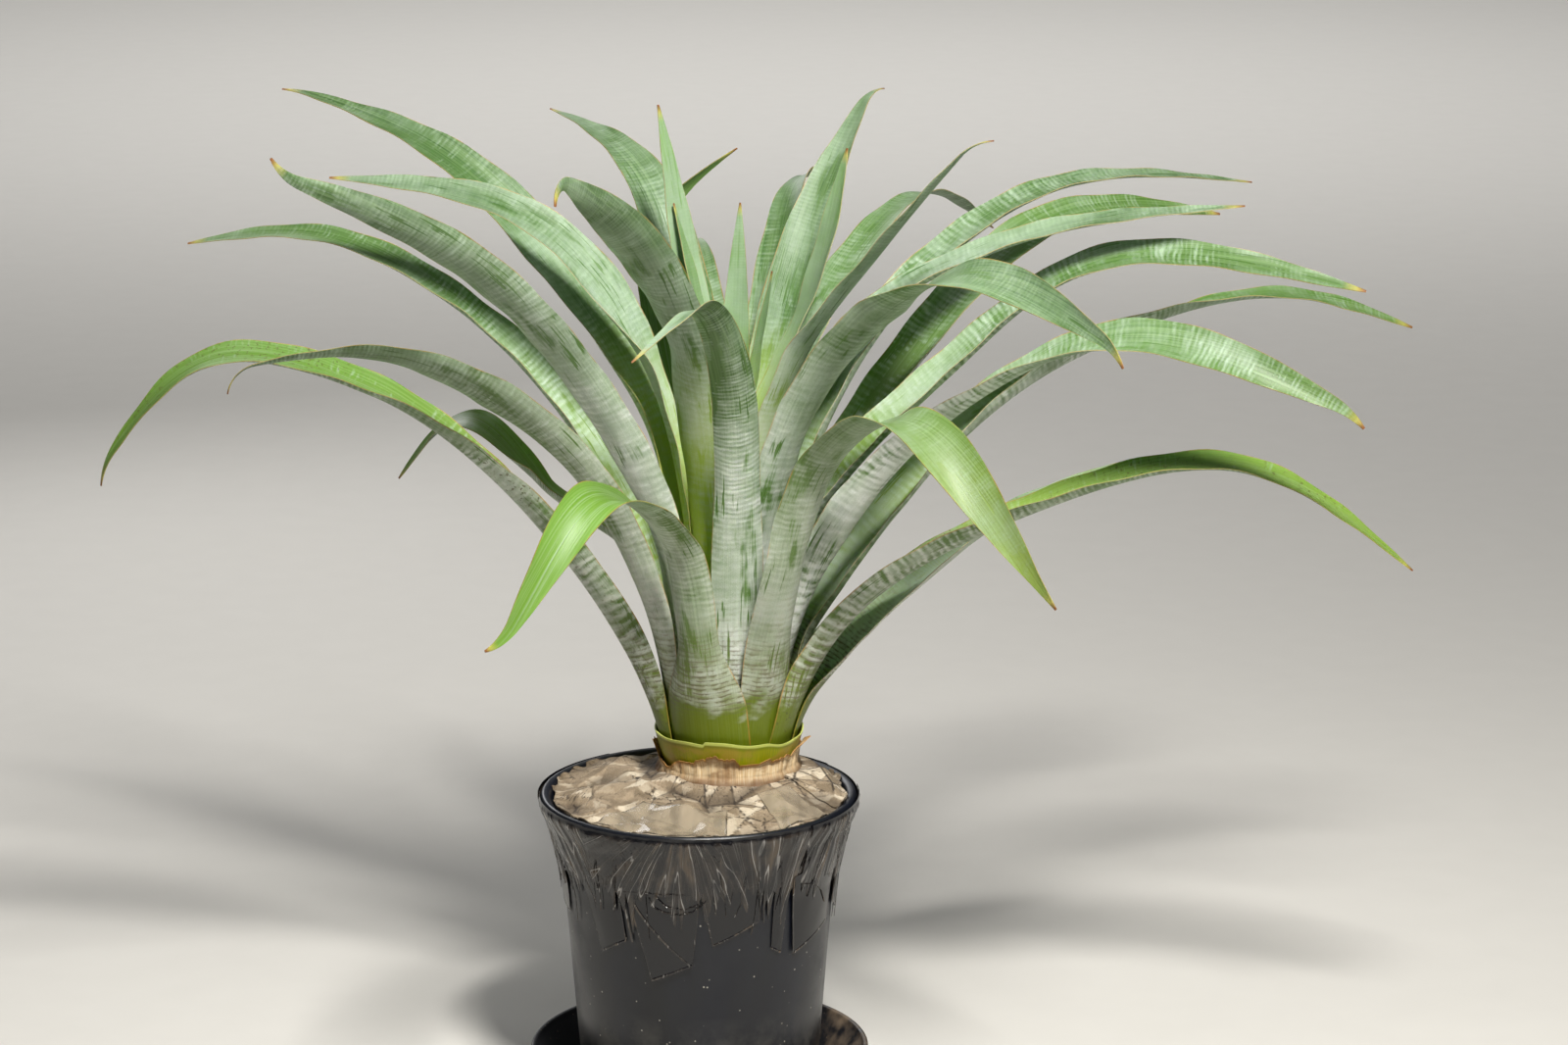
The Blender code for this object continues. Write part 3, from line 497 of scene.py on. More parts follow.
def leafBlade(name, spec, shape, marks, index, skins):
    azimuth, ring, points, swing, width, rolls, channel, clasp, curl = spec
    rootReach = ringRadii[ring]
    root = (rootReach, crownHeight + (ringRadii[0] - rootReach))
    lean = 0.04 + 0.20 * float(smoothStep(rootReach, 33.0, 42.0))
    points = np.vstack([root, np.reshape(points, (-1, 2))])
    line = curlTip(midribLine(points, lean), curl, shape["curlLength"])
    s = np.concatenate([[0.0], np.cumsum(np.linalg.norm(np.diff(line, axis=0), axis=1))])
    u = np.linspace(0.0, 1.0, shape["stations"] + 1)
    u = u - 0.045 * np.sin(2.0 * np.pi * u)  # closer stations at both ends
    along = u * s[-1]
    reach, height = np.interp(along, s, line[:, 0]), np.interp(along, s, line[:, 1])

    swingPower = 2.5 if abs(swing) < shape["lateSwing"] else 5.0  # a wide swing comes late
    turn = math.radians(azimuth)
    outward = np.array([math.cos(turn), math.sin(turn), 0.0])
    sideways = np.array([-math.sin(turn), math.cos(turn), 0.0])
    upward = np.array([0, 0, 1.0])
    centre = (np.array([plantFoot[0], plantFoot[1], 0.0]) + reach[:, None] * outward
              + (swing * u**swingPower)[:, None] * sideways + height[:, None] * upward)
    forward = np.gradient(centre, along, axis=0)
    forward /= np.linalg.norm(forward, axis=1)[:, None]
    acrossWay = sideways - (forward @ sideways)[:, None] * forward
    acrossWay /= np.linalg.norm(acrossWay, axis=1)[:, None]
    inward = np.cross(forward, acrossWay)
    roll = np.radians(np.interp(u, (0.0, 0.3, 0.6, 1.0), (rolls[0],) + rolls))
    roll = roll * smoothStep(reach, 44.0, 75.0)  # none where the base clasps
    cos, sin = np.cos(roll)[:, None], np.sin(roll)[:, None]
    inward, acrossWay = inward * cos + acrossWay * sin, acrossWay * cos - inward * sin

    claspWidth = 2.0 * math.radians(clasp) * rootReach
    w = claspWidth + (width - claspWidth) * smoothStep(along, 30.0, 80.0)
    w = w * (1.0 + 0.05 * smoothStep(u, 0.15, 0.35)) * (1.0 - 0.10 * smoothStep(u, 0.35, 0.65))
    w = np.minimum(w, 2.05 * math.radians(clasp) * reach)
    w = w * (1.0 - 0.955 * np.clip((u - 0.52) / 0.48, 0.0, 1.0)**2)  # tapers to the tip
    hugging = w / 2.0 / (0.97 * reach)  # half angle of a base round the layer inside it
    fold = np.interp(u, (0.0, 0.2, 0.4, 0.65, 0.9, 1.0), (1.0, 1.0, 0.8, 0.5, 0.34, 0.3))
    away = smoothStep(reach, 38.0, 58.0)  # free of the layers inside
    half = hugging * (1.0 - away) + math.radians(channel) * fold * away

    v = np.linspace(-1.0, 1.0, shape["strips"] + 1)
    bend = half[:, None] * v
    radius = (w / 2.0 / half)[:, None]
    side, rise = radius * np.sin(bend), radius * (1.0 - np.cos(bend))
    # edges that wave, but neither at the base nor at the tip
    wave = (np.sin(2 * np.pi * along[:, None] / shape["wavePitch"] + 2.1 * index + 1.3 * v)
            * np.abs(v)**3 * shape["waveHeight"] * smoothStep(along, 90, 170)[:, None]
            * smoothStep(s[-1] - along, 0, 60)[:, None])
    under = (centre[:, None] + side[..., None] * acrossWay[:, None]
             + (rise + wave)[..., None] * inward[:, None])
    normal = (np.cos(bend)[..., None] * inward[:, None]
              - np.sin(bend)[..., None] * acrossWay[:, None])
    thick = shape["thick"] - (shape["thick"] - shape["edge"]) * v**2
    upper = under + normal * thick[None, :, None]

    rows, cols = len(u), len(v)
    grid = np.ones((rows, cols))
    reachMap = np.stack([w[:, None] / 200.0 * v, grid * along[:, None] / 100.0], axis=2)
    shifts = ((5.0 + 3.7 * index, 9.1 * index), (60.0 + 3.7 * index, 4.3 + 9.1 * index))
    leafMap = np.vstack([(reachMap + shift).reshape(-1, 2) for shift in shifts])
    points = bothSides(upper, under)

    def bothFaces(numbers):
        return np.tile((grid * numbers).ravel(), 2)

    values = {"along": bothFaces(u[:, None]), "across": bothFaces(v[None, :]),
              "innerFace": np.repeat([1.0, 0.0], rows * cols),
              "height": (points[:, 2] - crownHeight) / 100.0}
    values.update((key, bothFaces(mark)) for key, mark in zip(leafValues[4:], marks))
    slot = ("leaf_old" if ring < shape["oldLayers"] else
            "leaf_mature" if ring < shape["heartLayer"] else "leaf_heart")
    addPiece("blade_" + name, points, sheetFaces(rows, cols), skins[slot],
             ("leaf_" + name,), {"leafMap": leafMap}, values)


skins = {slot: leafSkin(look, leafTints) for slot, look in leafSkins.items()}
for index, (name, spec) in enumerate(leafTable.items()):
    marks = leafMarks.get(name, leafMarks["others"])
    leafBlade(name, spec, leafShape, marks, index, skins)
print("leaves:", len(leafTable))

# nursery pot and saucer: thin moulded plastic
potShape = {
    "name": "polypropylene nursery pot, injection moulded satin",
    "dirtSide": (2, 70.0, -60.0),  # axis, where the film of dirt begins and where it is full
    "segments": 160, "drainHoles": 4, "drainRadius": 6.0, "drainReach": 48.0,
    "profile": (  # radius, height, rounding of the corner
        (0, 6.3, 0), (68, 6.3, 1.5), (69, 3.3, 1.2), (73.5, 3.3, 1.2), (75, 4.8, 2.5),
        (83.5, 112, 8), (90, 176, 5), (96.6, 187.7, 1.2), (99.6, 188.7, 1.4),
        (100, 191.1, 1.6), (98.4, 193.3, 1.6), (94.4, 192.5, 2.0), (92.6, 188.9, 3),
        (88.4, 176.5, 5), (81.9, 112, 8), (73.4, 8.5, 2.5), (0, 8.5, 0)),
    "color": "#07090f", "sheenColor": "#0b0f1b", "dust": "#a9a498", "roughness": 0.34}
saucerShape = {
    "name": "polypropylene saucer, dusted with soil", "dirtSide": (0, 20.0, 90.0),
    "segments": 160,
    "profile": (
        (0, 0, 0), (90, 0, 1), (92, 1, 1.2), (105.6, 20.6, 1.0), (107.6, 21.4, 0.8),
        (108, 23, 0.8), (107.2, 24, 0.7), (105.2, 23.6, 0.9), (103.8, 20.8, 1.5),
        (92.2, 5, 3.0), (90.2, 3, 2.0), (0, 3, 0)),
    "color": "#0b0b0e", "sheenColor": "#141417", "dust": "#7c6a56", "roughness": 0.38}


def roundedProfile(corners, steps=5):
    line = []
    for i, (radius, height, fillet) in enumerate(corners):
        here = np.array([radius, height], float)
        if fillet <= 0:
            line.append(here)
            continue
        before = np.array(corners[i - 1][:2]) - here
        after = np.array(corners[i + 1][:2]) - here
        a, b = np.linalg.norm(before), np.linalg.norm(after)
        cut = min(fillet, 0.45 * a, 0.45 * b)
        p, q = here + before / a * cut, here + after / b * cut
        for t in np.linspace(0.0, 1.0, steps + 1):
            line.append((1 - t)**2 * p + 2 * t * (1 - t) * here + t * t * q)
    return np.array(line)


def turnedMesh(profile, segments, centre=(0.0, 0.0)):
    turn = np.linspace(0.0, 2 * np.pi, segments, endpoint=False)
    rings = profile[1:-1]
    points = [(centre[0] + r * math.cos(t), centre[1] + r * math.sin(t), z)
              for r, z in rings for t in turn]
    points += [(centre[0], centre[1], profile[0][1]), (centre[0], centre[1], profile[-1][1])]
    faces, last = [], (len(rings) - 1) * segments
    for i in range(segments):
        k = (i + 1) % segments
        faces += [(j * segments + i, j * segments + k, (j + 1) * segments + k,
                   (j + 1) * segments + i) for j in range(len(rings) - 1)]
        faces += [(len(points) - 2, k, i), (len(points) - 1, last + i, last + k)]
    return points, faces


def drillHoles(piece, shape):  # through the base, which lies between the two cutter ends
    cutters = []
    for k in range(shape["drainHoles"]):
        turn = 2 * math.pi * (k + 0.5) / shape["drainHoles"]
        spot = (shape["drainReach"] * math.cos(turn), shape["drainReach"] * math.sin(turn))
        r, low, high = shape["drainRadius"], -1, 12
        profile = np.array([(0, low), (r, low), (r, high), (0, high)])
        points, faces = turnedMesh(profile, 32, spot)
        cutter = placeObject("drainCutter", closedMesh("drainCutter", points, faces))
        cut = piece.modifiers.new("drain", "BOOLEAN")
        cut.object, cut.solver = cutter, "EXACT"
        cutters.append(cutter)
    graph = bpy.context.evaluated_depsgraph_get()
    drilled = bpy.data.meshes.new_from_object(piece.evaluated_get(graph))
    piece.modifiers.clear()
    piece.data = drilled
    for cutter in cutters:
        bpy.data.objects.remove(cutter)


# black polypropylene, injection moulded: satin, so it mirrors the room softly, with upright flow
# bands of painted sheen, specks of dust and a film of dried dirt on one side
def mouldedPlastic(look):
    material, shader, add = newMaterial(look["name"])
    place = add("TexCoord", out="Object")
    seen = {}
    for key, scale, detail, stretch in (  # cells to a metre, detail, stretch upward
            ("flow", 26.0, 3.0, 0.12),    # upright bands of the mould's flow, 38 mm, in the sheen colour: painted sheen
            ("grime", 38.0, 4.0, 1.0),    # dried drips and handling marks, 26 mm
            ("sparse", 70.0, 1.0, 1.0),   # where dust specks sit
            ("skin", 900.0, 2.0, 1.0)):   # spark grain of the mould, drawn at 1 mm to show
        spot = add("Mapping", {"Vector": place, "Scale": (1.0, 1.0, stretch)})
        seen[key] = add("TexNoise", {"Vector": spot, "Scale": scale, "Detail": detail,
                                     "Roughness": 0.6})
    crumbs = add("TexVoronoi", {"Vector": place, "Scale": 190.0})  # specks 5 mm apart
    speck = add("Math", (add("MapRange", (crumbs, 0.13, 0.07)),
                         add("MapRange", (seen["sparse"], 0.50, 0.58))), operation="MULTIPLY")
    axis, begin, full = look["dirtSide"]
    side = add("MapRange", (add("SeparateXYZ", (place,), axis), begin * mm, full * mm))
    film = add("Math", (add("MapRange", (seen["grime"], 0.42, 0.66, 0.0, 0.75)), side),
               operation="MULTIPLY")
    skin = layColors(add, look["color"], (
        # painted sheen: the lighter sheen colour laid in the upright flow bands
        (add("MapRange", (seen["flow"], 0.35, 0.7)), look["sheenColor"]),
        (speck, look["dust"]), (film, look["dust"])))
    matt = add("MapRange", (seen["grime"], 0.3, 0.7, look["roughness"] - 0.05,
                            look["roughness"] + 0.12))
    matt = add("Math", (film, 0.35, matt), operation="MULTIPLY_ADD")
    finishSkin(shader, add, skin, matt, (seen["skin"], 0.12, 0.0003), {"IOR": 1.49})
    return material


for name, shape in (("pot", potShape), ("saucer", saucerShape)):
    points, faces = turnedMesh(roundedProfile(shape["profile"]), shape["segments"])
    body = addPiece(name + "Body", points, faces, mouldedPlastic(shape),
                    (name,), sharp=50.0)
    if "drainHoles" in shape:
        drillHoles(body, shape)
print("pot with drain holes, saucer")


# soil and stem keep their solids
earth = {"peat": "#1d140d", "crumb": "#4d3826", "grain": "#a89c86", "roughness": 0.95,
         "crumbScale": 420.0, "grainScale": 230.0}  # cells to a metre: 2 and 4 mm
woodyStem = {"scar": "#6b5a2c", "cork": "#b39a5c", "roughness": 0.7,
             "around": 60.0, "up": 420.0}  # cells to a metre: scars 17 mm long, 2.5 mm apart


def earthMaterial(look):
    # potting mix, damp and loose: dark and dead matt, with small pale grains
    material, shader, add = newMaterial("potting mix, damp peat crumb")
    place = add("TexCoord", out="Object")
    crumb = add("TexNoise", {"Vector": place, "Scale": look["crumbScale"], "Detail": 5.0})
    grain = add("TexVoronoi", {"Vector": place, "Scale": look["grainScale"]})
    skin = layColors(add, look["peat"], (
        (crumb, look["crumb"]), (add("MapRange", (grain, 0.16, 0.10)), look["grain"])))
    finishSkin(shader, add, skin, look["roughness"], (crumb, 0.8, 0.002))
    return material


def stemMaterial(look):
    # bromeliad stem, grown: dull tan cork with the scars of old leaves round it
    material, shader, add = newMaterial("bromeliad stem, corky with leaf scars")
    flat = add("Mapping", {"Vector": add("TexCoord", out="Object"),
                           "Scale": (look["around"], look["around"], look["up"])})
    scar = add("TexNoise", {"Vector": flat, "Scale": 1.0, "Detail": 3.0})
    skin = layColors(add, look["scar"], ((scar, look["cork"]),))
    finishSkin(shader, add, skin, look["roughness"], (scar, 0.5, 0.001))
    return material


for name, material in (("soil", earthMaterial(earth)), ("stem", stemMaterial(woodyStem))):
    for slot in nodes[name].material_slots:
        slot.material = material
print("soil and stem dressed")


# trimmed green sheath and torn dry sheath round the foot of the leaves
greenSheath = {
    "name": "living leaf sheath, trimmed with a blade", "turns": 240, "rows": 14, "thick": 0.9,
    "color": "#96960a", "roughness": 0.34, "relief": 0.25,
    "patterns": {"fibres": (110.0, 5.0, 2.0),  # cells in 100 mm around and up, detail
                 "patches": (5.0, 7.0, 3.0)},
    "layers": (  # pattern, its range, how much of the colour, colour
        ("fibres", 0.40, 0.62, 0.0, 0.4, "#5c7a0e"), ("patches", 0.46, 0.60, 0.0, 0.8, "#a08a34"),
        ("rim", 0.80, 0.88, 0.0, 0.5, "#55700f"), ("rim", 0.90, 0.95, 0.0, 1.0, "#c3cc6a"))}
drySheath = {
    "name": "dead leaf sheath, dry torn fibre", "turns": 320, "rows": 26, "thick": 0.6,
    "flapAt": 345.0, "flapHeight": 9.0, "gapAt": 205.0,  # degrees from +X, mm
    "color": "#cfae80", "roughness": 0.66, "relief": 0.8,
    "patterns": {"fibres": (120.0, 5.0, 3.0), "patches": (6.0, 9.0, 3.0)},
    "layers": (
        ("fibres", 0.38, 0.62, 0.0, 0.9, "#ecd9b4"), ("patches", 0.46, 0.62, 0.0, 0.7, "#8f6a44"),
        ("rim", 0.80, 0.97, 0.0, 0.8, "#b57f35"), ("rim", 0.40, 0.08, 0.0, 0.85, "#5a3d26"))}


def sheathSheet(name, radius, z, turns, look, node, rim):  # closed round the plant
    ray = np.stack([np.cos(turns), np.sin(turns)], 1)

    def grid(r):
        flat = plantFoot + r[..., None] * ray[:, None]
        return np.concatenate([flat, z[..., None]], axis=2).reshape(-1, 3)

    rows, cols = z.shape
    points = np.vstack([grid(radius + look["thick"]), grid(radius)])
    along = np.cumsum(np.hypot(np.diff(radius, axis=1, prepend=radius[:, :1]),
                               np.diff(z, axis=1, prepend=z[:, :1])), axis=1)
    around = turns[:, None] * 44.0 + np.zeros_like(z)  # 44 mm is its mean radius
    uv = np.tile(np.stack([around, along], 2).reshape(-1, 2) / 100.0, (2, 1))
    addPiece(name, points, sheetFaces(rows, cols, wrap=True), sheathMaterial(look),
             (node,), {"sheathMap": uv}, {"rim": np.tile((rim + np.zeros_like(z)).ravel(), 2)})


# leaf sheath: waxy, satin olive with a pale cut rim where it lives, and matt tan fibre with a
# burnt edge where it has dried
def sheathMaterial(look):
    material, shader, add = newMaterial(look["name"])
    uv = add("UVMap", uv_map="sheathMap")  # one unit is 100 mm
    seen = {"rim": add("Attribute", out="Fac", attribute_name="rim")}  # 0 at foot, 1 at rim
    for key, (around, up, detail) in look["patterns"].items():
        spot = add("Mapping", {"Vector": uv, "Scale": (around, up, 1.0)})
        seen[key] = add("TexNoise", {"Vector": spot, "Scale": 1.0, "Detail": detail,
                                     "Roughness": 0.6})
    skin = layColors(add, look["color"], [
        (add("MapRange", (seen[key], low, high, least, most)), color)
        for key, low, high, least, most, color in look["layers"]])
    finishSkin(shader, add, skin, look["roughness"], (seen["fibres"], look["relief"], 0.0006),
               {"IOR": 1.42})
    return material


def sheathGrid(look):
    turns = np.linspace(0.0, 2 * np.pi, look["turns"], endpoint=False)
    return turns, np.linspace(0.0, 1.0, look["rows"])


def trimmedSheath(look):
    turns, rows = sheathGrid(look)
    edge = crownHeight + 12.6 + 1.6 * np.sin(turns + 5.2) + 1.3 * np.sin(3 * turns + 1.0)
    edge += 0.8 * np.sin(11 * turns + 0.5) * softNoise(turns * 3, 0, 4)
    step = smoothStep(np.degrees(turns), 250.0, 252.5) - smoothStep(np.degrees(turns), 300, 330)
    edge += 2.2 * step  # one sheath overlaps the next
    z = crownHeight - 9.0 + (edge[:, None] - crownHeight + 9.0) * rows
    radius = 42.9 + 0.28 * (z - crownHeight) + 0.35 * softNoise(turns[:, None] * 4, rows * 2, 5)
    sheathSheet("sheathCup", radius, z, turns, look, "sheath_green", rows)


def tornSheath(look):
    turns, rows = sheathGrid(look)
    fromFlap = turns - math.radians(look["flapAt"])
    fromFlap = np.mod(fromFlap + math.pi, 2 * math.pi) - math.pi
    flap = np.exp(-(fromFlap / 0.17)**2)
    # tears of three sizes, fewer at the flap
    torn = ((softNoise(turns * 3.2, 0, 7) - 0.5) * 9.0 + (softNoise(turns * 11, 0, 6) - 0.5) * 4.0
            + (softNoise(turns * 40, 0, 8) - 0.5) * 1.8)
    edge = (crownHeight + 1.6 + torn * (0.4 + 0.6 * smoothStep(np.abs(fromFlap), 0.1, 0.3))
            + look["flapHeight"] * flap)
    edge = np.maximum(edge, crownHeight + 0.4 + 0.3 * np.sin(9 * turns))
    fromGap = np.degrees(turns) - look["gapAt"]
    edge -= 7.5 * np.exp(-(fromGap / 16.0)**4)  # torn away where the green shows below
    foot = 199.9 + 1.2 * (softNoise(turns * 9, 0, 10) - 0.5)
    upTo = (0, 0.28, 0.7, 1)  # parts of the way up at which its profile is set
    z = np.array([np.interp(rows, upTo, (low, 205.5, high - 4.0, high))
                  for low, high in zip(foot, edge)])
    radius = np.interp(rows, upTo, (46.6, 43.7, 44.2, 44.5)) + np.zeros_like(z)
    radius = radius + 0.38 * np.clip(z - crownHeight + 1.4, 0, None)  # flares at the top
    radius += 0.45 * np.clip(z - crownHeight - 2, 0, None) * flap[:, None]
    radius = radius + 1.6 * softNoise(turns[:, None] * 6, 0, 12) * smoothStep(rows, 0.75, 1.0)
    pleats = softNoise(turns[:, None] * 22, rows * 1.5, 9) - 0.5
    radius = radius + pleats * (0.7 + 1.5 * (1.0 - rows)) * smoothStep(rows, 0.0, 0.2)
    sheathSheet("sheathHusk", radius, z, turns, look, "sheath_dry", rows)


trimmedSheath(greenSheath)
tornSheath(drySheath)
print("sheaths: green cup and dry husk")


# paper over the soil
paperShape = {
    "starts": (200.0, 320.0, 440.0), "span": 140.0, "columns": 130, "rows": 56, "thick": 0.6,
    "fromPlant": 44.6, "wallRadius": 94.6, "facetSize": 18.0, "facetHeight": 4.2,
    "smallFacet": 9.0, "smallHeight": 1.1, "foldAngle": 4.0,
    # lighter facets are painted with the pale colour below and darker ones with the stain colour,
    # which also marks real stains: painted light and shade
    "color": "#a4937c", "worn": "#8b785f", "stain": "#665743", "foldShade": "#2c2219",
    "paintedFacetLight": "#dccfb9", "roughness": 0.82}
# the pot's lip inside, from the wall up to the top of the rim
lipRadii, lipHeights = zip(*[corner[:2] for corner in potShape["profile"][13:9:-1]])


# crumpled paper: flat facets with sharp creases between them; the function that it gives says,
# at each point, the height, the distance to the nearest crease and a random value per facet that
# the paper's material paints as light and shade
def foldField(size, height, seed, reach=100.0):
    source = np.random.RandomState(seed)
    count = int(2 * reach / size)
    grid = np.stack(np.meshgrid(np.arange(count + 1), np.arange(count + 1)), 2).reshape(-1, 2)
    spots = (grid * size - reach) + source.uniform(-0.42, 0.42, grid.shape) * size
    levels = source.uniform(-height, height, len(spots))
    found = delaunay_2d_cdt([Vector(p) for p in spots], [], [], 0, 1e-6)
    corners = np.array([list(face) for face in found[2]])
    levels = levels[[origin[0] for origin in found[3]]]
    spots = np.array([tuple(v) for v in found[0]])
    shades = source.rand(len(corners))
    a, b, c = (spots[corners[:, k]] for k in range(3))
    area = (b[:, 0] - a[:, 0]) * (c[:, 1] - a[:, 1]) - (b[:, 1] - a[:, 1]) * (c[:, 0] - a[:, 0])

    def heightAt(points):
        flat = points.reshape(-1, 2)
        out, toFold, shade = (np.zeros(len(flat)) for _ in range(3))
        for start in range(0, len(flat), 4000):
            p = flat[start:start + 4000, None]
            wb = ((p[..., 0] - a[:, 0]) * (c[:, 1] - a[:, 1])
                  - (p[..., 1] - a[:, 1]) * (c[:, 0] - a[:, 0])) / area
            wc = ((b[:, 0] - a[:, 0]) * (p[..., 1] - a[:, 1])
                  - (b[:, 1] - a[:, 1]) * (p[..., 0] - a[:, 0])) / area
            inside = np.minimum(np.minimum(wb, wc), 1.0 - wb - wc)
            best = np.argmax(inside, axis=1)
            k = np.arange(len(best))
            wb, wc, tri = wb[k, best], wc[k, best], corners[best]
            out[start:start + 4000] = (levels[tri[:, 0]] * (1 - wb - wc)
                                       + levels[tri[:, 1]] * wb + levels[tri[:, 2]] * wc)
            toFold[start:start + 4000] = inside[k, best] * size
            shade[start:start + 4000] = shades[best]
        return [numbers.reshape(points.shape[:-1]) for numbers in (out, toFold, shade)]

    return heightAt


broadFolds = foldField(paperShape["facetSize"], paperShape["facetHeight"], 31)
smallFolds = foldField(paperShape["smallFacet"], paperShape["smallHeight"], 32)


def coverHeight(flat):  # height of the paper, and what its material reads at each point
    fromPlant = np.hypot(flat[..., 0] - plantFoot[0], flat[..., 1] - plantFoot[1])
    fromPot = np.hypot(flat[..., 0], flat[..., 1])
    dome = 188.9 + 9.5 * (1.0 - smoothStep(fromPlant, 38.0, 118.0))  # rises to the plant
    dome = dome + 2.4 * (1.0 - smoothStep(fromPlant, paperShape["fromPlant"], 62.0))
    broad, broadLine, broadShade = broadFolds(flat)
    small, smallLine, smallShade = smallFolds(flat)
    folds = broad + small
    level = dome + folds * (0.3 + 0.7 * smoothStep(fromPlant, 44.0, 62.0))
    lip = np.interp(fromPot, lipRadii, lipHeights)
    ease = smoothStep(fromPot, 84.0, 92.0)  # flatter where it meets the lip
    level = level * (1.0 - ease) + ease * (190.6 + 0.45 * folds)
    level = np.minimum(np.maximum(level, lip + 0.35),
                       201.5 + 2.0 * smoothStep(fromPlant, 50.0, 62.0))
    paperMaps = {"toFold": np.minimum(broadLine, 3.0 * smallLine), "folds": folds,
                 "facetLightShade": 0.55 * broadShade + 0.45 * smallShade}
    return level, paperMaps


def coverSheet(start, columns, rows, q0=0.0, q1=1.0, turn0=0.0, turn1=1.0, ragged=1.0):
    around = np.radians(start + paperShape["span"] * np.linspace(turn0, turn1, columns))
    ray = np.stack([np.cos(around), np.sin(around)], 1)
    b = ray @ plantFoot
    toWall = np.sqrt(b * b - plantFoot @ plantFoot + paperShape["wallRadius"]**2) - b
    near = paperShape["fromPlant"] + 0.8 * np.sin(5 * around)
    tear = ((softNoise(around * 14, start, 41) - 0.5) * 3.0
            + (softNoise(around * 60, start, 42) - 0.5) * 1.0)
    far = toWall - 1.4 + 1.2 * np.sin(7 * around) + 0.8 * np.sin(12 * around + 1) + tear * ragged
    q = np.linspace(q0, q1, rows)
    r = near[:, None] + (far - near)[:, None] * q
    flat = plantFoot + r[..., None] * ray[:, None]
    part = np.linspace(turn0, turn1, columns)
    lift = 1.2 * (1.0 - smoothStep(part, 0.16, 0.30))  # laps over the sheet before it
    level, paperMaps = coverHeight(flat)
    z = level + lift[:, None]
    return np.concatenate([flat, z[..., None]], axis=2), paperMaps


def paperMaterial(look):
    # kraft paper, crumpled by hand: matt tan with fibre flecks; each facet is painted lighter or
    # darker than the next as if lit from its own side, and hollows and creases carry painted shade
    material, shader, add = newMaterial("kraft paper, crumpled and torn by hand")
    place = add("TexCoord", out="Object")
    stray = add("TexNoise", {"Vector": place, "Scale": 60.0}, "Color")
    bent = add("Mix", {0: 0.10, 4: place, 5: stray}, 1, data_type="VECTOR")
    flecks = add("Mapping", {"Vector": place, "Scale": (1.0, 0.35, 1.0)})
    seen = {key: add("TexNoise", {"Vector": spot, "Scale": scale, "Detail": detail,
                                  "Roughness": 0.6})
            for key, spot, scale, detail in (  # cells to a metre, detail
                ("fibres", flecks, 1400.0, 2.0),  # fibre flecks, 0.7 by 2 mm
                ("stain", place, 24.0, 3.0), ("broken", place, 26.0, 2.0),
                ("tooth", place, 500.0, 3.0))}    # tooth of the paper, drawn at 2 mm to show
    broken = add("MapRange", (seen["broken"], 0.44, 0.54, 0.1, 1.0))
    toFold = add("Attribute", out="Fac", attribute_name="toFold")  # in mm
    folds = add("Attribute", out="Fac", attribute_name="folds")
    facetLightShade = add("Attribute", out="Fac", attribute_name="facetLightShade")  # a random value per facet: painted light and shade
    line = add("TexVoronoi", {"Vector": bent, "Scale": 130.0},  # fine creases, 8 mm apart
               feature="DISTANCE_TO_EDGE")
    # painted shade: the low hollows between the folds darkened with the dark fold colour
    hollowShade = add("MapRange", (folds, -0.2, -2.4, 0.0, 0.60))
    # painted shade: dark lines along the creases where the facets meet, broken up, and finer ones
    # between
    creaseShade, fineCreaseShade = (
        add("Math", (add("MapRange", (source, wide, thin, 0.0, most)), broken),
            operation="MULTIPLY")
        for source, wide, thin, most in ((toFold, 0.95, 0.25, 0.95), (line, 0.05, 0.01, 0.3)))
    skin = layColors(add, look["color"], (
        (add("MapRange", (seen["fibres"], 0.30, 0.75)), look["worn"]),
        (add("MapRange", (seen["stain"], 0.42, 0.70, 0.0, 0.5)), look["stain"]),
        # painted light and painted shade: each facet lighter or darker by its random value; here the
        # stain colour is painted shade
        (add("MapRange", (facetLightShade, 0.50, 0.85, 0.0, 0.75)), look["paintedFacetLight"]),
        (add("MapRange", (facetLightShade, 0.48, 0.12, 0.0, 0.72)), look["stain"]),
        (hollowShade, look["foldShade"]), (creaseShade, look["foldShade"]), (fineCreaseShade, look["foldShade"])))
    relief = add("Math", (add("MapRange", (line, 0.0, 0.12)), 0.6, seen["tooth"]),
                 operation="MULTIPLY_ADD")
    finishSkin(shader, add, skin, look["roughness"], (relief, 0.5, 0.0008))
    return material


paper = paperMaterial(paperShape)
for k, start in enumerate(paperShape["starts"]):
    columns, rows = paperShape["columns"], paperShape["rows"]
    under, paperMaps = coverSheet(start, columns, rows)
    upper = under + np.array([0.0, 0.0, paperShape["thick"]])
    values = {key: np.tile(numbers.ravel(), 2) for key, numbers in paperMaps.items()}
    addPiece("coverPaper%d" % (k + 1), bothSides(upper, under), sheetFaces(columns, rows), paper,
             ("paper_%d" % (k + 1),), None, values, paperShape["foldAngle"])
print("paper cover: three crumpled sheets")


# clear tape on the paper and stretched down the pot's wall
tapeShape = {  # overPot and overPaper: what shows through the tape where it lies flat
    "thick": 0.25, "haze": "#403a34", "shade": "#131112", "white": "#96938f", "dirt": "#574734",
    "overPot": "#0e0e12", "overPaper": "#b5a68f", "clearAlpha": 0.50, "hazeAlpha": 0.45,
    "roughness": 0.12,
    "patterns": {  # cells in 100 mm around and down, detail
        "broad": (7.0, 1.0, 2.0),     # creases 14 mm apart
        "fine": (30.0, 0.8, 1.0),     # stress lines 3 to 4 mm apart
        "cloud": (9.0, 4.0, 3.0)},
    "top": 192.3, "halfSpan": 27.0, "mmPerDegree": 1.6, "threads": 5,  # of a side strip
    "topStrips": (  # node, its part of the first paper outward, and its part round it
        ("tape_top_1", 0.42, 0.98, 0.20, 0.50), ("tape_top_2", 0.22, 0.98, 0.63, 0.80))}
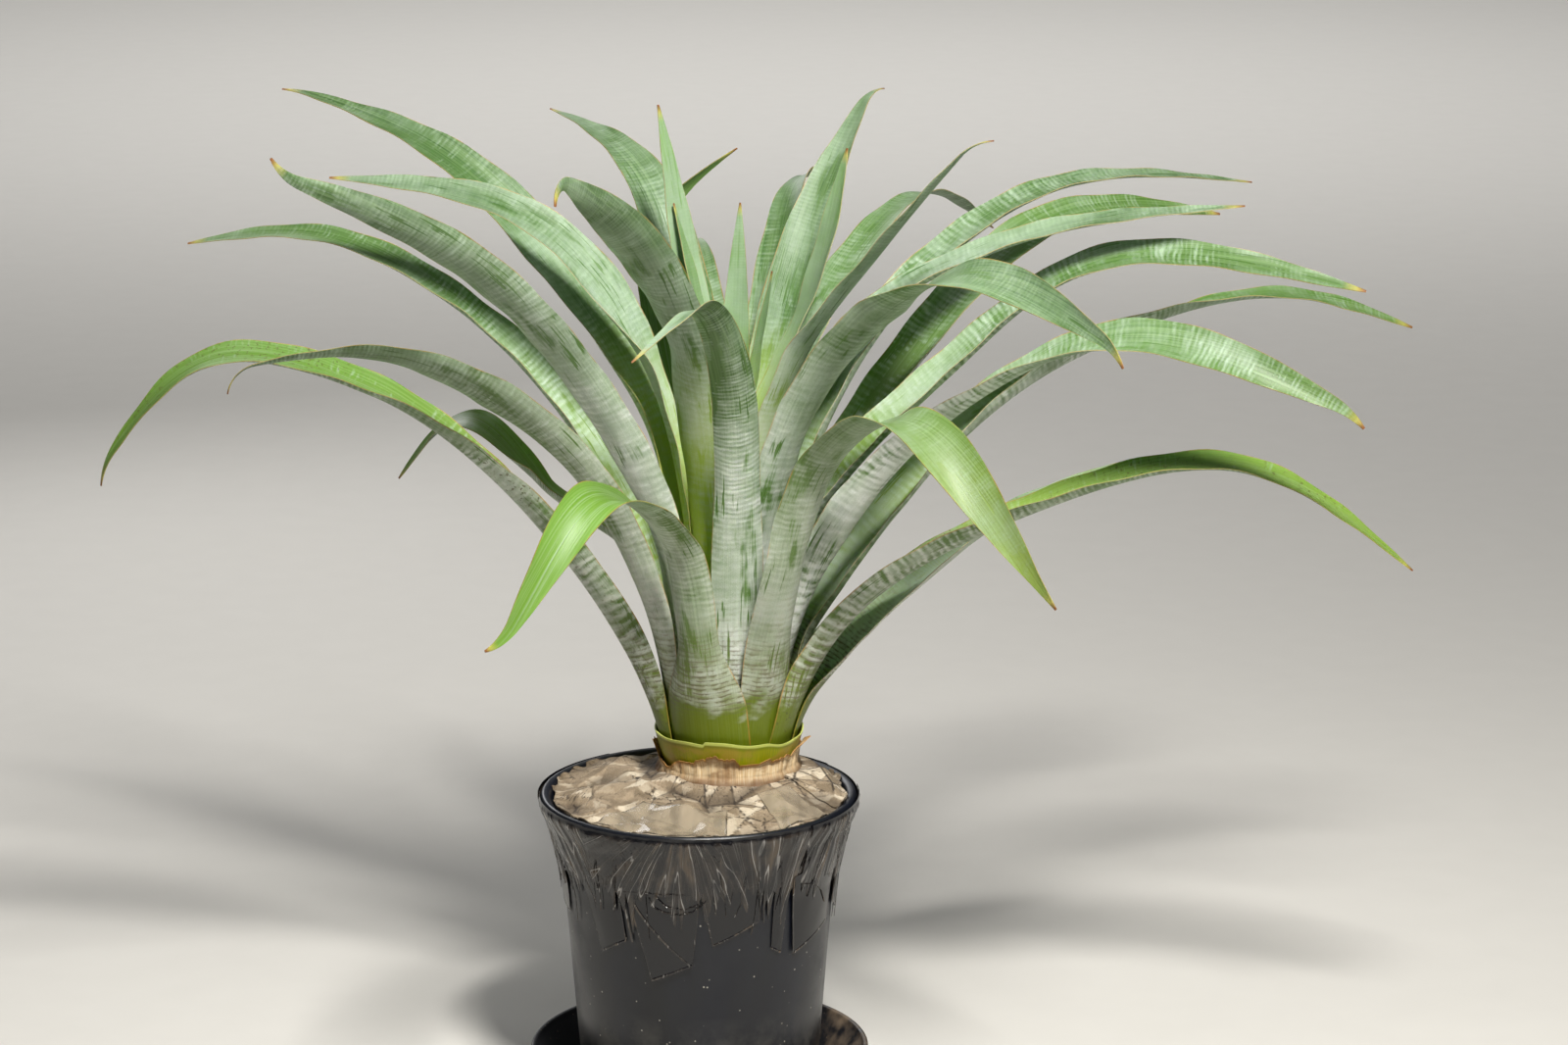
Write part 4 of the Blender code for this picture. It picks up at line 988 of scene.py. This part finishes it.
# middle angle and layer of each node, the point (angle, height) that its creases fan from, then
# its flat tails: angle and height of the two lower corners, then of the two upper ones
sideTapes = (
    ("tape_side_1", 18, 0, (24, 225), ((-6, 112, 14, 124, -8, 165, 12, 165),
                                       (22, 118, 40, 108, 20, 165, 42, 165))),
    ("tape_side_2", 63, 1, (58, 92), ((44, 114, 62, 124, 42, 165, 60, 165),
                                      (68, 130, 84, 114, 66, 165, 86, 165))),
    ("tape_side_3", 108, 0, (112, 225), ((88, 120, 104, 106, 88, 165, 106, 165),
                                         (114, 122, 130, 132, 112, 165, 132, 165))),
    ("tape_side_4", 153, 1, (146, 88), ((136, 108, 152, 114, 134, 165, 154, 165),
                                        (160, 130, 176, 122, 158, 165, 174, 165))),
    ("tape_side_5", 207, 0, (236, 84), ((184, 128, 200, 122, 184, 165, 202, 165),
                                        (225, 106, 239, 117.5, 214, 165, 236, 168))),
    ("tape_side_6", 252, 1, (266, 216), ((250.6, 93.5, 268.4, 105.4, 241, 150, 272, 156),)),
    ("tape_side_7", 297, 0, (301, 96), ((276.7, 117.7, 296.4, 131.9, 271, 158, 298, 168),
                                        (303, 112, 308, 107.5, 303, 160, 311, 160))),
    ("tape_side_8", 342, 1, (333, 226), ((314.4, 104.7, 338.6, 118, 311, 158, 341, 168),
                                         (346, 126, 360, 116, 344, 165, 362, 165))),
)
# loose strands that show: angle and height along each, and its width
frontStrands = (
    ("tape_side_6", ((244, 146), (246, 140), (251, 130), (259, 117), (267.8, 105)), 1.3),
    ("tape_side_6", ((251, 150), (253, 144), (257, 141), (263, 140), (269, 142), (274.5, 151)), 0.8),
    ("tape_side_6", ((254, 152), (258, 145), (265, 143.5), (271, 147)), 0.5),
    ("tape_side_6", ((236, 151), (244, 153), (256, 153.5), (268, 154)), 0.35),
    ("tape_side_7", ((296.5, 188), (297.6, 170), (297.8, 150), (298.6, 131)), 0.9),
    ("tape_side_7", ((293, 170), (295.5, 150), (297.3, 134)), 0.6),
    ("tape_side_7", ((302, 178), (304.5, 165), (305.5, 150), (304, 138)), 0.7),
    ("tape_side_5", ((232, 172), (237, 155), (240, 138), (242.2, 118)), 1.2),
    ("tape_side_5", ((205, 165), (207, 150), (209.5, 136), (209, 121)), 1.1),
    ("tape_side_8", ((352, 178), (353.5, 155), (354, 135), (355, 112)), 1.2),
    ("tape_side_8", ((316, 152), (323, 149), (330, 142), (334, 132)), 0.5),
)


def wallRadius(z):  # of the pot, with the tape tented from the rim to the wall
    return np.interp(z, (4.8, 112.0, 142.0, 176.0, 189.1, 192.1),
                     (75.4, 83.9, 87.0, 94.8, 100.4, 100.3))


def tapeSkin(look):
    # polypropylene packing tape, pulled until it crinkled: glossy and clear, hazy in its pleats,
    # with white stress streaks and a little dirt
    material, shader, add = newMaterial("polypropylene tape, clear, stretched and crinkled")
    uv = add("UVMap", uv_map="tapeMap")  # one unit is 100 mm
    dense = add("Attribute", out="Fac", attribute_name="dense")  # how much it is pleated
    onPot = add("Attribute", out="Fac", attribute_name="onPot")  # 1 on the pot, 0 on the paper
    seen = {}
    for key, (around, down, detail) in look["patterns"].items():
        spot = add("Mapping", {"Vector": uv, "Scale": (around, down, 1.0)})
        seen[key] = add("TexNoise", {"Vector": spot, "Scale": 1.0, "Detail": detail,
                                     "Roughness": 0.5, "Distortion": 0.15})
    ridges = [add("Math", (add("Math", (seen[key], 0.5), operation="SUBTRACT"),),
                  operation="ABSOLUTE") for key in ("broad", "fine")]
    streak = add("Math", (add("MapRange", (ridges[0], 0.010, 0.003)),
                          add("MapRange", (ridges[1], 0.012, 0.004, 0.0, 0.35))),
                 operation="MAXIMUM")
    weight = add("Math", (dense, add("MapRange", (seen["cloud"], 0.40, 0.60, 0.10, 1.0))),
                 operation="MULTIPLY")
    lines = add("Math", (streak, add("MapRange", (dense, 0.1, 0.7))), operation="MULTIPLY")
    lines = add("Math", (lines, add("MapRange", (seen["cloud"], 0.36, 0.56, 0.2, 1.0))),
                operation="MULTIPLY")
    alpha = add("Math", (add("Math", (weight, lines), operation="MAXIMUM"), look["hazeAlpha"],
                         look["clearAlpha"]), operation="MULTIPLY_ADD")
    alpha = add("Math", (alpha, onPot), operation="MAXIMUM")
    alpha = add("Clamp", (alpha, 0.0, 1.0))
    dirty = add("Math", (weight, add("MapRange", (seen["cloud"], 0.50, 0.65, 0.0, 0.5))),
                operation="MULTIPLY")
    folded = add("Math", (add("MapRange", (seen["broad"], 0.56, 0.42)), weight),
                 operation="MULTIPLY")  # the shaded side of each crease
    skin = layColors(add, look["overPaper"], (
        (onPot, look["overPot"]), (add("MapRange", (weight, 0.02, 0.9)), look["haze"]),
        (dirty, look["dirt"]), (folded, look["shade"]), (lines, look["white"])))
    relief = add("Math", (seen["broad"], add("MapRange", (dense, 0.04, 0.8))),
                 operation="MULTIPLY")
    finishSkin(shader, add, skin, look["roughness"], (relief, 0.6, 0.0014),
               {"IOR": 1.49, "Alpha": alpha})
    return material


def fanMap(angle, z, focus):  # creases fan out from a point on the wall
    side, down = (angle - focus[0]) * tapeShape["mmPerDegree"], np.abs(z - focus[1])
    return np.arctan2(side, down) * 80.0 + focus[0], np.hypot(side, down)


def filmSheet(angle, z, lift, thick, dense, focus):  # points, grid, map and pleating
    r = wallRadius(z) + lift
    turn = np.radians(angle)
    inner = np.stack([r * np.cos(turn), r * np.sin(turn), z], axis=2)
    outer = np.stack([(r + thick) * np.cos(turn), (r + thick) * np.sin(turn), z], axis=2)
    uv = np.stack(fanMap(angle, z, focus), 2).reshape(-1, 2) / 100.0
    return (bothSides(outer, inner), z.shape, np.tile(uv, (2, 1)),
            np.tile((dense + np.zeros_like(z)).ravel(), 2))


def strand(path, width, lift, focus):  # a loose thread, 3 points wide
    path = np.array(path, float)
    t = np.linspace(0, len(path) - 1, 10 * len(path))
    angle, z = (np.interp(t, np.arange(len(path)), path[:, k]) for k in (0, 1))
    for _ in range(3):  # rounds the bends
        angle[1:-1] = (angle[:-2] + 2 * angle[1:-1] + angle[2:]) / 4
        z[1:-1] = (z[:-2] + 2 * z[1:-1] + z[2:]) / 4
    mmPerDegree = 1.55  # lower on the wall than the strip's own value
    side, down = np.gradient(angle) * mmPerDegree, np.gradient(z)
    size = np.hypot(side, down)
    off = np.linspace(-0.5, 0.5, 3) * width
    angles = angle[:, None] + (-down / size)[:, None] * off / mmPerDegree
    heights = z[:, None] + (side / size)[:, None] * off
    crown = 0.25 * (1 - (2 * np.linspace(-0.5, 0.5, 3))**2)
    return filmSheet(angles, heights, lift + crown, 0.2, 1.4, focus)


def pleatedStrip(number, middle, layer, focus):  # from the rim down, torn into spikes
    angle = middle + tapeShape["halfSpan"] * np.linspace(-1, 1, 110)
    q = np.linspace(0, 1, 36)
    spikes = softNoise(angle * 0.30, number, 51) + 0.6 * softNoise(angle * 0.8, number, 52)
    end = 156.0 - 26.0 * (np.abs(spikes - 0.8) * 1.5)**1.3 - 5.0 * softNoise(angle * 2.0, 0, 57)
    z = tapeShape["top"] + (end[:, None] - tapeShape["top"]) * q
    angles = angle[:, None] + 1.6 * (softNoise(angle[:, None] * 0.3, q * 3, 53) - 0.5) * q
    around, down = fanMap(angles, z, focus)
    pleat = 1 - np.abs(softNoise(around * 0.19, down * 0.02 + number, 54) - 0.5) * 2
    pleat = pleat**2 + 0.45 * softNoise(around * 0.6, down * 0.05, 55)
    lift = 0.1 + layer + pleat * 1.5 * smoothStep(q, 0.02, 0.16) * (1 - 0.5 * q)
    dense = smoothStep(192.6 - z, 1.5, 6.0) * (1 - 0.45 * smoothStep(q, 0.6, 1.0))
    return filmSheet(angles, z, lift, tapeShape["thick"], dense, focus)


def flatTail(corners, number, layer, focus):  # a cut end that hangs flat on the wall
    a0, z0, a1, z1, a2, z2, a3, z3 = corners
    s, t = np.linspace(0, 1, 40)[:, None], np.linspace(0, 1, 30)
    angles = (a0 + (a1 - a0) * s) * (1 - t) + (a2 + (a3 - a2) * s) * t
    z = (z0 + (z1 - z0) * s) * (1 - t) + (z2 + (z3 - z2) * s) * t
    sag = 0.5 * np.sin(np.pi * s) * (1 - t) + 0.4 * softNoise(s * 3, t * 4, 56 + number)
    edges = 1.6 * ((s < 0.02) | (s > 0.98) | (t < 0.02)) + 0.02  # the cut edges show white
    return filmSheet(angles, z, 0.2 + layer + sag, tapeShape["thick"], edges, focus)


def stretchedThread(source, middle, layer, focus):
    a = middle + source.uniform(-25, 25)
    top, drop, lean = source.uniform(165, 188), source.uniform(20, 48), source.uniform(-6, 6)
    path = [(a + lean * k / 3 + source.uniform(-0.8, 0.8), top - drop * k / 3)
            for k in range(4)]
    return strand(path, source.uniform(0.25, 0.5), 1.0 + layer, focus)


film = tapeSkin(tapeShape)
for number, (node, middle, layer, focus, tails) in enumerate(sideTapes):
    source = np.random.RandomState(60 + number)
    sheets = [pleatedStrip(number, middle, layer, focus)]
    sheets += [flatTail(corners, number, layer, focus) for corners in tails]
    sheets += [stretchedThread(source, middle, layer, focus) for _ in range(tapeShape["threads"])]
    sheets += [strand(path, width, 1.0 + layer, focus)
               for owner, path, width in frontStrands if owner == node]
    points, faces, uv, dense = [], [], [], []
    for sheet, (rows, cols), place, weight in sheets:
        faces += sheetFaces(rows, cols, first=sum(len(p) for p in points))
        points.append(sheet)
        uv.append(place)
        dense.append(weight)
    points = np.vstack(points)
    addPiece("film%s" % node[9:], points, faces, film, (node,),
             {"tapeMap": np.vstack(uv)},
             {"dense": np.concatenate(dense), "onPot": np.ones(len(points))})

for name, q0, q1, turn0, turn1 in tapeShape["topStrips"]:
    columns, rows = 60, 40
    under = coverSheet(paperShape["starts"][0], columns, rows, q0, q1, turn0, turn1, 0.0)[0]
    under = under + np.array([0, 0, 0.85])  # clear of the paper, 0.6 mm thick
    points = bothSides(under + np.array([0.0, 0.0, tapeShape["thick"]]), under)
    cutEdge = np.full((columns, rows), 0.22)
    cutEdge[[0, -1]] = cutEdge[:, [0, -1]] = 1.5
    addPiece("film" + name[5:].replace("_", "").title(), points, sheetFaces(columns, rows), film,
             (name,), {"tapeMap": points[:, :2] / 100.0},
             {"dense": np.tile(cutEdge.ravel(), 2), "onPot": np.zeros(len(points))})
print("tape: two strips on the paper, eight round the wall")
